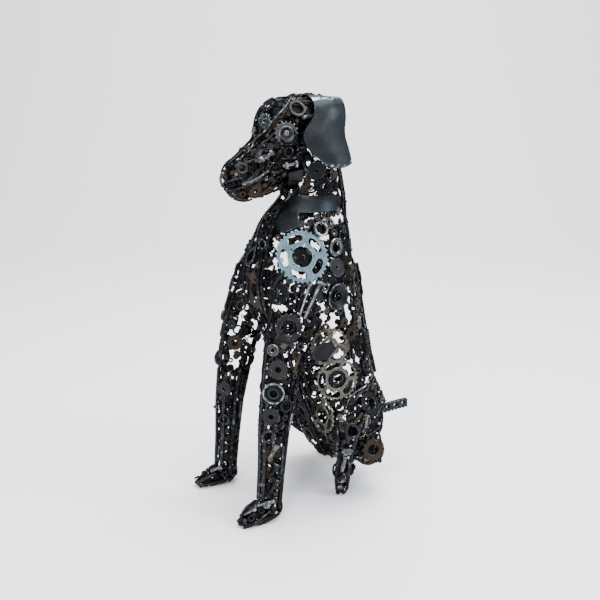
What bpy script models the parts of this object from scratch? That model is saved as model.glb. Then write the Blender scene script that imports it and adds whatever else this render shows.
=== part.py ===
# A sitting dog welded from scrap: openwork skins of fused scrap plate, and on them the
# sprockets, gears, rings, bolts, rods and bent sheets that show from a step away.
# Metres, +Z up. The dog faces -Y, its left side is +X, and its soles stand on z = 0.
import math
from collections import namedtuple

import bmesh
import bpy
import numpy as np
from mathutils import Matrix, Vector

# Fused scrap skins
SKIN_THICKNESS = 0.004
SEAM = 0.0016           # how far each skin's edge is drawn in, so that neighbours stay apart
VOXEL = 0.012           # cell of the first mesh of the form
SKIN_FACES = 1200       # outer triangles of all the skins together
LUMP_STEP = 0.25        # spacing of the lumps that fill a limb, as a share of its half depth
SOLE_HEIGHT = 0.008     # what lies lower than this is ground flat
LEAST_PULL = 0.6        # keeps the sharp corners of a rim from being drawn in too far
GAP = 0.0003            # clearance between pieces that touch
REACH = 0.004           # how far beyond its rim a seated piece looks for what carries it
FOOTPRINT_DEPTH = 0.05  # how far above and below its seat a piece feels for what carries it
SPACING = 0.003         # spacing of the points at which pieces feel for one another
DROP_FROM = 0.6         # how far from the middle the pieces start to be let down
DROP_ROUNDS = 60
DROP_SHARE = 0.85       # share of the free distance that is let down at a time
DROP_MOST = 0.1
CLOSE_ENOUGH = 0.0001
NORMAL_STEP = 0.001
BLEND = 0.010           # how softly the limbs run into one another
OPEN_SHARE = 0.20       # share of the triangles left out as gaps between the scraps
MOST_GAPS_AT_A_POINT = 2
WINDOW_DEPTH = 0.03
SEED = 11

# Stations of the limbs: (x, y, z, half depth, width factor)
TORSO = [
    (0, -0.047, 0.655, 0.118, 0.88),
    (0, -0.050, 0.560, 0.141, 0.94),
    (0, -0.006, 0.410, 0.128, 1.00),
    (0, 0.036, 0.280, 0.118, 1.02),
    (0, 0.066, 0.155, 0.094, 1.15),
]
NECK = [
    (0, -0.036, 0.700, 0.097, 0.85),
    (0, -0.015, 0.770, 0.077, 0.95),
    (0, -0.026, 0.860, 0.070, 0.98),
    (0, -0.028, 0.925, 0.070, 0.90),
]
SKULL = [(0, -0.035, 0.950, 0.075, 0.95), (0, -0.102, 0.949, 0.067, 0.98)]
MUZZLE = [
    (0, -0.105, 0.880, 0.074, 0.80),
    (0, -0.168, 0.849, 0.063, 0.80),
    (0, -0.214, 0.829, 0.051, 0.85),
]
FORELEG = [
    (0.060, -0.080, 0.650, 0.066, 0.70),
    (0.100, -0.112, 0.565, 0.074, 0.62),
    (0.114, -0.158, 0.450, 0.058, 0.72),
    (0.117, -0.186, 0.340, 0.044, 0.88),
    (0.118, -0.203, 0.240, 0.036, 0.95),
    (0.119, -0.212, 0.130, 0.030, 1.00),
    (0.119, -0.219, 0.050, 0.028, 1.05),
]
PAW = [
    (0.119, -0.219, 0.030, 0.030, 1.00),
    (0.122, -0.260, 0.022, 0.022, 1.20),
    (0.125, -0.294, 0.013, 0.013, 1.50),
]
THIGH = [
    (0.085, 0.062, 0.225, 0.082, 0.60),
    (0.115, 0.042, 0.200, 0.080, 0.60),
    (0.138, 0.003, 0.180, 0.050, 0.80),
]
LEFT_SHANK = [(0.138, 0.003, 0.175, 0.046, 0.80), (0.120, 0.088, 0.110, 0.038, 0.80)]
RIGHT_SHANK = [(-0.138, 0.003, 0.175, 0.046, 0.80), (-0.125, 0.100, 0.085, 0.042, 0.80)]
LEFT_HIND_FOOT = [
    (0.118, 0.034, 0.130, 0.032, 0.80),
    (0.112, 0.008, 0.070, 0.024, 0.80),
    (0.108, 0.006, 0.014, 0.014, 1.00),
]
RIGHT_HIND_FOOT = [
    (-0.110, 0.150, 0.055, 0.040, 0.70),
    (-0.130, 0.130, 0.030, 0.028, 0.90),
    (-0.140, 0.115, 0.016, 0.016, 1.30),
]


def mirrored(stations):
    return [(-x, y, z, depth, width) for x, y, z, depth, width in stations]


# Each skin wraps these limbs; the torso's is parted into chest, back and flanks later.
LIMBS = {
    "torso": [TORSO],
    "neck": [NECK],
    "skull": [SKULL],
    "muzzle": [MUZZLE],
    "left_foreleg": [FORELEG, PAW],
    "right_foreleg": [mirrored(FORELEG), mirrored(PAW)],
    "left_hind_leg": [THIGH, LEFT_SHANK, LEFT_HIND_FOOT],
    "right_hind_leg": [mirrored(THIGH), RIGHT_SHANK, RIGHT_HIND_FOOT],
}
STRAY_ROUNDS = 4
DENSE_SKINS = ("skull", "muzzle")
DENSE_HEIGHT = 0.06     # no gaps in the paws and feet, lower than this
CHEST_FACING = -0.62    # a torso face whose normal has less y than this is on the chest
BACK_FACING = 0.62

# Where the pieces lie: the side they are let down from, and their place seen from that side
SIDES = {
    "left": Vector((1, 0, 0)),
    "right": Vector((-1, 0, 0)),
    "front": Vector((0, -1, 0)),
    "back": Vector((0, 1, 0)),
    "top": Vector((0, 0, 1)),
}

# A flat round piece: across and up are its place seen from its side (y and z from left or
# right, x and z from front or back, x and y from the top); sink is how far a large plate
# is let into the rounded form; facing overrides the direction that it faces.
Disc = namedtuple(
    "Disc",
    "name side across up radius thick metal teeth tooth hole windows sink facing",
    defaults=("dark steel", 0, 0.003, 0.0, 0, 0.0, None),
)

DISCS = [
    # Torso, left
    Disc("shoulder_sprocket", "left", -0.118, 0.650, 0.066, 0.005, "blue steel", 34, 0.005,
         0.026, 5, 0.014, (0.90, -0.22, 0.38)),
    Disc("upper_flank_sprocket", "left", -0.058, 0.432, 0.049, 0.004, "tan steel", 24, 0.004,
         0.016, 4, 0.006, (0.93, -0.30, 0.0)),
    Disc("middle_flank_sprocket", "left", -0.022, 0.330, 0.055, 0.004, "dark steel", 28, 0.004,
         0.024, 5, 0.008, (0.94, -0.28, 0.05)),
    Disc("flank_gear", "left", 0.012, 0.445, 0.021, 0.008, "dark steel", 14, 0.003, 0.008),
    Disc("shoulder_hub", "left", -0.036, 0.548, 0.034, 0.010, "dark steel", 0, 0, 0.011),
    Disc("shoulder_washer_disc", "left", -0.040, 0.615, 0.023, 0.005, "dark steel", 0, 0, 0.004),
    Disc("shoulder_bearing", "left", -0.028, 0.664, 0.022, 0.010, "bright steel", 0, 0, 0.013),
    Disc("shoulder_chrome_ring", "left", -0.062, 0.707, 0.018, 0.010, "bright steel", 0, 0,
         0.012),
    # Chest
    Disc("chest_sprocket", "front", 0.000, 0.552, 0.048, 0.004, "rusty steel", 18, 0.006,
         0.020, 0, 0.008),
    Disc("chest_ring", "front", -0.030, 0.628, 0.026, 0.006, "dark steel", 0, 0, 0.017, 0, 0.002),
    Disc("breast_gear", "front", 0.106, 0.566, 0.021, 0.007, "dark steel", 16, 0.003, 0.006),
    # Left foreleg
    Disc("elbow_gear", "left", -0.176, 0.492, 0.034, 0.006, "dark steel", 18, 0.003, 0.019, 0,
         0.004, (0.88, -0.45, 0.12)),
    Disc("forearm_gear", "left", -0.205, 0.394, 0.025, 0.006, "dark steel", 18, 0.003, 0.010, 0,
         0.002, (0.80, -0.59, 0.10)),
    Disc("knee_hub", "left", -0.216, 0.338, 0.026, 0.014, "bright steel", 0, 0, 0.010, 0,
         0.002, (0.80, -0.60, 0.05)),
    Disc("shin_gear", "left", -0.223, 0.279, 0.022, 0.007, "dark steel", 18, 0.002, 0.006, 0,
         0.002, (0.80, -0.60, 0.05)),
    # Haunch and tail
    Disc("haunch_gear", "left", 0.062, 0.255, 0.031, 0.006, "dark steel", 16, 0.003, 0.017, 0,
         0.003),
    Disc("haunch_ring", "left", -0.012, 0.205, 0.020, 0.008, "dark steel", 0, 0, 0.013, 0, 0.001),
    Disc("hock_gear", "left", 0.058, 0.142, 0.031, 0.018, "rusty steel", 12, 0.005, 0.014, 0,
         0.014, (0.92, -0.35, 0.10)),
    # Neck
    Disc("neck_disc", "left", -0.050, 0.845, 0.023, 0.005, "dark steel", 0, 0, 0.004, 0, 0.001),
    Disc("neck_gear", "left", -0.036, 0.806, 0.021, 0.006, "dark steel", 16, 0.003, 0.011, 0, 0.001),
    # Head
    Disc("left_eye_gear", "left", -0.130, 0.936, 0.029, 0.006, "dark steel", 16, 0.005, 0.006, 0,
         0.003, (0.88, -0.46, 0.0)),
    Disc("brow_gear", "front", 0.024, 0.962, 0.018, 0.006, "blue steel", 9, 0.004, 0.006),
    Disc("temple_ring", "left", -0.098, 0.988, 0.021, 0.009, "dark steel", 0, 0, 0.012, 0, 0.002),
    Disc("jaw_gear", "left", -0.206, 0.806, 0.019, 0.006, "dark steel", 14, 0.003, 0.007, 0, 0.001),
    # Right side, plainer
    Disc("right_eye_gear", "right", -0.130, 0.936, 0.029, 0.006, "dark steel", 16, 0.005, 0.006, 0,
         0.003, (-0.88, -0.46, 0.0)),
    Disc("right_shoulder_sprocket", "right", -0.100, 0.630, 0.050, 0.005, "dark steel", 22, 0.005,
         0.018, 4, 0.012, (-0.92, -0.18, 0.35)),
    Disc("right_flank_sprocket", "right", -0.020, 0.400, 0.052, 0.004, "rusty steel", 18, 0.004,
         0.020, 4, 0.008),
    Disc("right_elbow_gear", "right", -0.165, 0.470, 0.030, 0.006, "dark steel", 14, 0.003, 0.012),
    Disc("right_knee_hub", "right", -0.200, 0.338, 0.024, 0.012, "dark steel", 0, 0, 0.010),
    Disc("right_haunch_gear", "right", 0.030, 0.215, 0.034, 0.006, "dark steel", 14, 0.003, 0.018),
    Disc("back_gear", "back", 0.0, 0.560, 0.036, 0.006, "dark steel", 14, 0.004, 0.014, 0, 0.003),
    Disc("loin_gear", "back", 0.0, 0.400, 0.040, 0.006, "rusty steel", 14, 0.005, 0.018, 0, 0.004),
]
MOST_BROAD_TEETH = 9    # a wheel with more teeth than this has pointed ones
WEB_SHARE = 0.14        # width of a sprocket's hub and rim beside its windows, in radii
WINDOW_SHARE = 0.62     # share of the circle that the windows take
WINDOW_TAPER = 0.7      # a window's inner edge against its outer one
PRESS_SHARE = 0.5       # height above a seat that is pressed flat, in radii

# An eye: a ball in a bearing ring, turned in one, on the middle of its gear
EYE_RING_RADIUS = 0.017
EYE_RING_THICK = 0.009
EYE_GROOVE_RADIUS = 0.0115
EYE_GROOVE_DEPTH = 0.004
EYE_BALL_RADIUS = 0.0085
EYE_STEPS = 8

# A bolt: its two ends seen from its side, its shank's radius and its head's
Bolt = namedtuple("Bolt", "name side tail head radius head_radius")
BOLTS = [
    Bolt("long_upper_arm_bolt", "left", (-0.132, 0.530), (-0.092, 0.592), 0.0045, 0.009),
    Bolt("cheek_bolt", "left", (-0.196, 0.868), (-0.160, 0.890), 0.0045, 0.008),
    Bolt("jaw_hinge_bolt", "left", (-0.142, 0.862), (-0.104, 0.866), 0.0050, 0.009),
    Bolt("haunch_bolt", "left", (0.016, 0.205), (0.030, 0.232), 0.0045, 0.008),
]
BOLT_HEAD_HEIGHT = 1.8  # in radii of the shank
BOLT_SIDES = 6

# A rod bent over the form: points seen from its side, and its radius
Rod = namedtuple("Rod", "name side radius metal points")
RODS = [
    Rod("left_ridge_rod", "left", 0.0030, "dark steel",
        [(-0.112, 1.000), (-0.150, 0.965), (-0.172, 0.925), (-0.205, 0.893), (-0.232, 0.872)]),
    Rod("left_lip_rod", "left", 0.0030, "dark steel",
        [(-0.236, 0.822), (-0.205, 0.834), (-0.176, 0.850)]),
    Rod("haunch_rod", "left", 0.0025, "bright steel",
        [(0.094, 0.312), (0.055, 0.300), (0.025, 0.285), (0.002, 0.262), (-0.014, 0.236)]),
    Rod("left_back_rod", "back", 0.0045, "dark steel",
        [(0.050, 0.600), (0.056, 0.500), (0.058, 0.400), (0.058, 0.300)]),
    Rod("right_back_rod", "back", 0.0045, "dark steel",
        [(-0.050, 0.600), (-0.056, 0.500), (-0.058, 0.400), (-0.058, 0.300)]),
]
ROD_STEP = 0.030
ROD_FEEL = 0.018        # how far round each of its bends a rod feels for what carries it
ROD_SETTLE = 0.002      # how much lower than its neighbour a rod's next bend may lie

# Coil spring on the back edge of the left flank
SPRING_ENDS = ((0.060, 0.440), (0.070, 0.376))
SPRING_RADIUS = 0.0095
SPRING_WIRE = 0.0022
SPRING_TURNS = 5
SPRING_STEPS = 6        # straight stretches in a turn

# Ears of bent sheet: rows from root to tip, (x, front y, back y, z); the root lies on the skull
EAR_ROWS = [
    (0.036, -0.060, 0.006, None),
    (0.058, -0.062, 0.018, 1.016),
    (0.078, -0.064, 0.020, 1.000),
    (0.087, -0.073, 0.019, 0.972),
    (0.091, -0.098, 0.014, 0.941),
    (0.093, -0.101, 0.016, 0.920),
    (0.096, -0.085, 0.024, 0.893),
    (0.101, -0.046, 0.030, 0.862),
]
EAR_COLUMNS = 5
EAR_THICKNESS = 0.003
EAR_CLEARANCE = 0.0046
EAR_TIP_DROP = 0.010
EAR_BULGE = 0.008

# Collar plate round the left of the neck
COLLAR_FROM = math.radians(-72)
COLLAR_TO = math.radians(18)
COLLAR_LOW = 0.747
COLLAR_HIGH = 0.786
COLLAR_THICKNESS = 0.003
COLLAR_CLEARANCE = 0.0040
COLLAR_STEPS = 9
COLLAR_AXIS_Y = -0.020
COLLAR_ROUNDING = 0.10  # how much narrower its top and bottom rows are, in radians

# Tail: a curved rack with holes
TAIL_TIP = 0.298
TAIL_LEVEL = 0.158
TAIL_HEIGHT = 0.026
TAIL_RISE = 0.006
TAIL_THICKNESS = 0.014
TAIL_TEETH = 11
TAIL_TOOTH = 0.0035
TAIL_HOLES = 4
TAIL_HOLE_RADIUS = 0.005
TAIL_STEPS = 6

METALS = {
    "dark steel": ((0.050, 0.046, 0.044), 0.48),
    "rusty steel": ((0.110, 0.062, 0.040), 0.62),
    "tan steel": ((0.300, 0.250, 0.190), 0.50),
    "blue steel": ((0.420, 0.480, 0.540), 0.34),
    "bright steel": ((0.560, 0.560, 0.560), 0.26),
    "ear steel": ((0.170, 0.200, 0.230), 0.38),
    "scrap steel": ((0.075, 0.064, 0.056), 0.55),
}


# The form: how far points lie outside the smooth union of the limbs
def limb_distance(points, stations):
    nearest = np.full(len(points), np.inf)
    for start, end in zip(np.array(stations, float), np.array(stations[1:], float)):
        run = end[:3] - start[:3]
        share = np.clip((points - start[:3]) @ run / (run @ run), 0, 1)[:, None]
        section = start + share * (end - start)
        offset = points - section[:, :3]
        offset[:, 0] /= section[:, 4]
        away = (np.linalg.norm(offset, axis=1) - section[:, 3]) * np.minimum(1, section[:, 4])
        nearest = np.minimum(nearest, away)
    return nearest


def form_distance(points):
    total = np.zeros(len(points))
    for limbs in LIMBS.values():
        for stations in limbs:
            total += np.exp(-limb_distance(points, stations) / BLEND)
    return -BLEND * np.log(np.maximum(total, 1e-300))


def form_normal(points):
    steps = np.eye(3) * NORMAL_STEP
    slope = [form_distance(points + step) - form_distance(points - step) for step in steps]
    slope = np.stack(slope, axis=1)
    return slope / np.maximum(np.linalg.norm(slope, axis=1, keepdims=True), 1e-9)


def onto_form(points, rounds=4):
    for _ in range(rounds):
        points = points - form_distance(points)[:, None] * form_normal(points)
    return points


def from_side(side, pairs):
    """The points where straight lines let down from that side meet the form."""
    across, up = np.array(pairs, float).T
    none = np.zeros_like(across)
    if side in ("left", "right"):
        points = np.stack([none, across, up], axis=1)
    elif side in ("front", "back"):
        points = np.stack([across, none, up], axis=1)
    else:
        points = np.stack([across, up, none + DROP_FROM], axis=1)
    out = np.array(SIDES[side])
    points = points + out * DROP_FROM
    for _ in range(DROP_ROUNDS):
        away = form_distance(points)
        if abs(away).max() < CLOSE_ENOUGH:
            break
        points = points - DROP_SHARE * np.minimum(away, DROP_MOST)[:, None] * out
    return points


# Objects and materials
def clear_scene():
    for thing in list(bpy.data.objects):
        bpy.data.objects.remove(thing, do_unlink=True)


def metal(name):
    material = bpy.data.materials.get(name)
    if material is None:
        colour, roughness = METALS[name]
        material = bpy.data.materials.new(name)
        material.use_nodes = True
        shader = material.node_tree.nodes["Principled BSDF"]
        shader.inputs["Base Color"].default_value = (*colour, 1)
        shader.inputs["Metallic"].default_value = 1
        shader.inputs["Roughness"].default_value = roughness
    return material


def add_object(name, data, metal_name):
    data.materials.append(metal(metal_name))
    thing = bpy.data.objects.new(name, data)
    COLLECTION.objects.link(thing)
    return thing


def new_mesh(name, points, faces):
    mesh = bpy.data.meshes.new(name)
    mesh.from_pydata([tuple(p) for p in points], [], [tuple(int(i) for i in f) for f in faces])
    mesh.update()
    return mesh


def evaluated_mesh(thing):
    bpy.context.view_layer.update()
    graph = bpy.context.evaluated_depsgraph_get()
    return bpy.data.meshes.new_from_object(thing.evaluated_get(graph))


def mesh_arrays(mesh):
    mesh.calc_loop_triangles()
    points = np.empty(len(mesh.vertices) * 3, np.float32)
    mesh.vertices.foreach_get("co", points)
    faces = np.empty(len(mesh.loop_triangles) * 3, np.int32)
    mesh.loop_triangles.foreach_get("vertices", faces)
    return points.reshape(-1, 3).astype(float), faces.reshape(-1, 3)


# The skins
def form_cage():
    """Round lumps along the limbs, melted into one closed mesh."""
    cage = bmesh.new()
    for limbs in LIMBS.values():
        for stations in limbs:
            for start, end in zip(np.array(stations), np.array(stations[1:])):
                length = np.linalg.norm(end[:3] - start[:3])
                lumps = max(2, math.ceil(length / (LUMP_STEP * min(start[3], end[3]))))
                for share in np.linspace(0, 1, lumps):
                    x, y, z, depth, width = start + share * (end - start)
                    size = Matrix.Diagonal((depth * width, depth, depth, 1))
                    place = Matrix.Translation((x, y, z)) @ size
                    bmesh.ops.create_icosphere(cage, subdivisions=3, radius=1, matrix=place)
    mesh = bpy.data.meshes.new("form")
    cage.to_mesh(mesh)
    cage.free()
    return mesh


def modified(mesh, kind, **settings):
    """The mesh that one modifier makes of this one."""
    guide = bpy.data.objects.new("form_guide", mesh)
    bpy.context.scene.collection.objects.link(guide)
    modifier = guide.modifiers.new("Shape", kind)
    for name, value in settings.items():
        setattr(modifier, name, value)
    result = evaluated_mesh(guide)
    bpy.data.objects.remove(guide)
    return result


def disc_seats():
    """Where each disc is let into the form, and the way that it faces."""
    seats = {}
    for disc in DISCS:
        point = from_side(disc.side, [(disc.across, disc.up)])
        facing = form_normal(point)[0] if disc.facing is None else np.array(disc.facing)
        seats[disc.name] = point[0], facing / np.linalg.norm(facing)
    return seats


def pressed(points):
    """Flattens the form under each disc, so that the disc lies on it."""
    points = points.copy()
    for disc in DISCS:
        centre, facing = SEATS[disc.name]
        offset = points - centre
        height = offset @ facing
        across = np.linalg.norm(offset - height[:, None] * facing, axis=1)
        near = abs(height) < PRESS_SHARE * disc.radius + disc.sink
        under = near & (across < disc.radius + REACH)
        under &= height > -disc.sink
        points[under] -= (height[under] + disc.sink)[:, None] * facing
    return points


def grounded(points):
    """Grinds the soles flat."""
    return np.where(points[:, 2:] < SOLE_HEIGHT, points * (1, 1, 0), points)


def form_surface():
    """The outer skin of the whole dog as points, triangles and the form's normals."""
    dense = modified(form_cage(), "REMESH", mode="VOXEL", voxel_size=VOXEL)
    points = grounded(pressed(onto_form(mesh_arrays(dense)[0])))
    dense.vertices.foreach_set("co", points.astype(np.float32).ravel())
    dense.update()
    share = SKIN_FACES / sum(len(face.vertices) - 2 for face in dense.polygons)
    thin = modified(dense, "DECIMATE", ratio=share, use_collapse_triangulate=True)
    points, faces = mesh_arrays(thin)
    points = grounded(points)
    normals = form_normal(points)
    normals[points[:, 2] == 0] = (0, 0, -1)
    return points, faces, normals


def skin_names(points, faces):
    """The name of the skin that each triangle belongs to."""
    centres = points[faces].mean(axis=1)
    names = list(LIMBS)
    distance = [np.min([limb_distance(centres, s) for s in LIMBS[n]], axis=0) for n in names]
    owner = np.array(names, dtype=object)[np.argmin(distance, axis=0)]
    facing = form_normal(centres)
    torso = owner == "torso"
    owner[torso & (centres[:, 0] > 0)] = "left_flank"
    owner[torso & (centres[:, 0] <= 0)] = "right_flank"
    owner[torso & (facing[:, 1] < CHEST_FACING)] = "chest"
    owner[torso & (facing[:, 1] > BACK_FACING)] = "back"
    return owner


def edge_owners(faces):
    owners = {}
    for index, face in enumerate(faces):
        for a, b in zip(face, np.roll(face, -1)):
            owners.setdefault((min(a, b), max(a, b)), []).append(index)
    return owners


def islands(members, owners):
    """The connected groups among the member triangles, largest first."""
    links = {index: [] for index in members}
    for pair in owners.values():
        inside = [index for index in pair if index in links]
        for index in inside:
            links[index] += [other for other in inside if other != index]
    groups = []
    left = set(links)
    while left:
        group, queue = set(), [min(left)]
        while queue:
            index = queue.pop()
            if index not in group:
                group.add(index)
                queue += links[index]
        groups.append(sorted(group))
        left -= group
    return sorted(groups, key=len, reverse=True)


def neighbours(faces, owners):
    """For each triangle, the triangles across its three edges."""
    beside = [[] for _ in faces]
    for pair in owners.values():
        for index in pair:
            beside[index] += [other for other in pair if other != index]
    return beside


def without_strays(owner, faces, owners):
    """Gives small islands, and triangles that another skin mostly surrounds, to that skin."""
    beside = neighbours(faces, owners)
    for _ in range(STRAY_ROUNDS):
        for name in sorted(set(owner)):
            members = [i for i, skin in enumerate(owner) if skin == name]
            for group in islands(members, owners)[1:]:
                around = [owner[i] for member in group for i in beside[member] if owner[i] != name]
                if around:
                    owner[group] = max(sorted(set(around)), key=around.count)
        for index in range(len(faces)):
            around = [owner[i] for i in beside[index] if owner[i] != owner[index]]
            if len(around) >= 2:
                owner[index] = max(sorted(set(around)), key=around.count)
    return owner


def window_rim(disc):
    """How far from its middle a sprocket's windows reach."""
    return disc.radius - disc.tooth - WEB_SHARE * disc.radius


def behind_windows(points, faces):
    """Which triangles lie wholly behind the windows of a sprocket."""
    hidden = np.zeros(len(faces), bool)
    for disc in DISCS:
        if disc.windows:
            centre, facing = SEATS[disc.name]
            offset = points - centre
            height = offset @ facing
            across = np.linalg.norm(offset - height[:, None] * facing, axis=1)
            inside = (across < window_rim(disc)) & (abs(height) < WINDOW_DEPTH)
            hidden |= inside[faces].all(axis=1)
    return hidden


def kept_faces(points, faces, owner, owners):
    """Leaves out what lies behind windows, and seeded single triangles as gaps."""
    keep = ~behind_windows(points, faces)
    uses = np.zeros(len(points), int)
    for edge, pair in owners.items():
        if owner[pair[0]] != owner[pair[-1]]:
            uses[list(edge)] = MOST_GAPS_AT_A_POINT
    low = points[faces][:, :, 2].min(axis=1) < DENSE_HEIGHT
    dense = low | np.isin(owner.astype(str), DENSE_SKINS)
    left = round(OPEN_SHARE * len(faces))
    for index in np.random.default_rng(SEED).permutation(len(faces)):
        free = uses[faces[index]].max() < MOST_GAPS_AT_A_POINT
        if left and free and keep[index] and not dense[index]:
            keep[index] = False
            uses[faces[index]] += 1
            left -= 1
    return keep


def joined_up(keep, faces, owner, owners):
    """Puts back the gaps beside any part of a skin that they have cut loose."""
    beside = neighbours(faces, owners)
    for name in sorted(set(owner)):
        for _ in range(len(faces)):
            members = [i for i in range(len(faces)) if owner[i] == name and keep[i]]
            loose = [i for group in islands(members, owners)[1:] for i in group]
            back = [i for member in loose for i in beside[member] if owner[i] == name and not keep[i]]
            if not back:
                break
            keep[back] = True
    return keep


def parted_fans(faces):
    """Splits each point where two sheets meet at a corner only, one point to a sheet."""
    around = {}
    for index, face in enumerate(faces):
        for corner, point in enumerate(face):
            around.setdefault(point, []).append((index, corner))
    new_faces = np.zeros_like(faces)
    sources = []
    for point, uses in around.items():
        waiting = dict(uses)
        while waiting:
            queue = [min(waiting)]
            while queue:
                index = queue.pop()
                if index not in waiting:
                    continue
                new_faces[index, waiting.pop(index)] = len(sources)
                spokes = set(faces[index]) - {point}
                queue += [other for other in waiting if spokes & set(faces[other])]
            sources.append(point)
    return new_faces, np.array(sources)


def rim_edges(faces):
    edges = np.concatenate([faces[:, [0, 1]], faces[:, [1, 2]], faces[:, [2, 0]]])
    paired = set(map(tuple, edges))
    return np.array([e for e in edges if (e[1], e[0]) not in paired])


def drawn_in(points, faces, rim):
    """Draws the rim points in by the seam's width, in the plane of their triangles."""
    normals = np.zeros_like(points)
    corner = points[faces]
    face_normals = np.cross(corner[:, 1] - corner[:, 0], corner[:, 2] - corner[:, 0])
    for side in range(3):
        np.add.at(normals, faces[:, side], face_normals)
    normals /= np.maximum(np.linalg.norm(normals, axis=1, keepdims=True), 1e-12)
    inward = np.zeros_like(points)
    for a, b in rim:
        run = points[b] - points[a]
        pull = np.cross(normals[a] + normals[b], run / np.linalg.norm(run))
        pull /= np.linalg.norm(pull)
        inward[a] += pull
        inward[b] += pull
    size = np.linalg.norm(inward, axis=1, keepdims=True)
    return points + SEAM * inward / np.maximum(size, LEAST_PULL)


def walled(points, normals, faces):
    """Closes an open sheet: the same sheet one thickness further in, and walls along the rim.

    Every skin takes the form's own normals, so that two neighbours share the line of their
    seam all the way in and never cross there.
    """
    rim = rim_edges(faces)
    outer = drawn_in(points, faces, rim)
    inner = outer - SKIN_THICKNESS * normals
    count = len(outer)
    walls = [(b, a, a + count) for a, b in rim] + [(b, a + count, b + count) for a, b in rim]
    every = [tuple(f) for f in faces] + [tuple(f[::-1] + count) for f in faces] + walls
    return np.concatenate([outer, inner]), every


def build_skins():
    """Makes one object of each skin and returns points spread over them all."""
    points, faces, normals = form_surface()
    owners = edge_owners(faces)
    owner = without_strays(skin_names(points, faces), faces, owners)
    keep = joined_up(kept_faces(points, faces, owner, owners), faces, owner, owners)
    carried = []
    for name in sorted(set(owner)):
        members = [i for i in range(len(faces)) if owner[i] == name and keep[i]]
        largest = faces[islands(members, owners)[0]]
        skin_faces, sources = parted_fans(largest)
        skin_points, every = walled(points[sources], normals[sources], skin_faces)
        add_object(name + "_scrap", new_mesh(name + "_scrap", skin_points, every), "scrap steel")
        carried.append(spread(skin_points, np.array(every[:len(skin_faces)])))
    return carried


def spread(points, faces):
    """Points all over the triangles, at most the spacing apart."""
    corner = points[faces]
    longest = np.linalg.norm(corner - np.roll(corner, 1, axis=1), axis=2).max(axis=1)
    steps = np.ceil(np.maximum(longest / SPACING, 1)).astype(int)
    spots = []
    for count in np.unique(steps):
        share = np.array([(i, j) for i in range(count + 1) for j in range(count + 1 - i)]) / count
        u, v = share[:, 0][None, :, None], share[:, 1][None, :, None]
        a, b, c = (corner[steps == count][:, None, k] for k in range(3))
        spots.append((a * (1 - u - v) + b * u + c * v).reshape(-1, 3))
    return np.concatenate(spots)


# Letting pieces down onto what carries them
def frame_facing(facing, along=(0, 0, 1)):
    """Three unit vectors: the third is the facing, the second leans to the given direction."""
    facing = np.array(facing) / np.linalg.norm(facing)
    up = np.array(along) - np.dot(along, facing) * facing
    if np.linalg.norm(up) < 0.05:
        up = np.array((0, 1.0, 0)) - facing[1] * facing
    up /= np.linalg.norm(up)
    return np.cross(up, facing), up, facing


def matrix_of(axes, place):
    turned = Matrix([[axes[column][row] for column in range(3)] for row in range(3)])
    return Matrix.Translation(place) @ turned.to_4x4()


def rest_height(centre, axes, half_width, half_height):
    """How high above the centre the highest thing under a footprint reaches."""
    highest = -FOOTPRINT_DEPTH
    for points in CARRIED:
        offset = points - centre
        u, v, h = (offset @ axis for axis in axes)
        if half_height is None:
            under = np.hypot(u, v) < half_width + REACH
        else:
            under = (abs(u) < half_width + REACH) & (abs(v) < half_height + REACH)
        under &= abs(h) < FOOTPRINT_DEPTH
        if under.any():
            highest = max(highest, h[under].max())
    return highest


def carry(thing):
    """Adds a finished piece to what carries the next ones."""
    mesh = evaluated_mesh(thing)
    points, faces = mesh_arrays(mesh)
    world = np.array(thing.matrix_world)
    CARRIED.append(spread(points @ world[:3, :3].T + world[:3, 3], faces))
    bpy.data.meshes.remove(mesh)


# Flat pieces
def ring_points(radius, count, turn=0.0):
    angles = turn + np.arange(count) * 2 * math.pi / count
    return np.stack([radius * np.cos(angles), radius * np.sin(angles)], axis=1)


def toothed_outline(radius, teeth, tooth):
    """Tooth tips at the radius and roots one tooth lower; few teeth are broad, many pointed."""
    if teeth <= MOST_BROAD_TEETH:
        stops = ((0.00, -tooth), (0.28, -tooth), (0.42, 0), (0.86, 0))
    else:
        stops = ((0, -tooth), (0.5, 0))
    corners = [(index + at, radius + rise) for index in range(teeth) for at, rise in stops]
    turns, reach = np.array(corners).T
    angles = turns * 2 * math.pi / teeth
    return np.column_stack([reach * np.cos(angles), reach * np.sin(angles)])


def window_outline(inner, outer, count, index):
    """A rounded opening between the hub and the rim of a sprocket."""
    middle = (index + 0.5) * 2 * math.pi / count
    half = WINDOW_SHARE * math.pi / count
    short = WINDOW_TAPER * half
    arcs = ((outer, np.linspace(-half, half, 4)), (inner, np.linspace(short, -short, 3)))
    return np.array([
        (radius * math.cos(middle + angle), radius * math.sin(middle + angle))
        for radius, angles in arcs for angle in angles
    ])


def flat_curve(name, outlines, thick, metal_name):
    curve = bpy.data.curves.new(name, "CURVE")
    curve.dimensions = "2D"
    curve.fill_mode = "BOTH"
    curve.extrude = thick / 2
    for outline in outlines:
        spline = curve.splines.new("POLY")
        spline.points.add(len(outline) - 1)
        corners = np.pad(outline, ((0, 0), (0, 2)))
        corners[:, 3] = 1
        spline.points.foreach_set("co", corners.ravel())
        spline.use_cyclic_u = True
    return add_object(name, curve, metal_name)


def circle(radius):
    """A circle with eight, twelve or sixteen corners, more on a larger one."""
    return ring_points(radius, 8 + 4 * (radius > 0.012) + 4 * (radius > 0.030))


def disc_outlines(disc):
    if disc.teeth:
        outlines = [toothed_outline(disc.radius, disc.teeth, disc.tooth)]
    else:
        outlines = [circle(disc.radius)]
    if disc.hole:
        outlines.append(circle(disc.hole))
    hub = disc.hole + WEB_SHARE * disc.radius
    for index in range(disc.windows):
        outlines.append(window_outline(hub, window_rim(disc), disc.windows, index))
    return outlines


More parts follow.
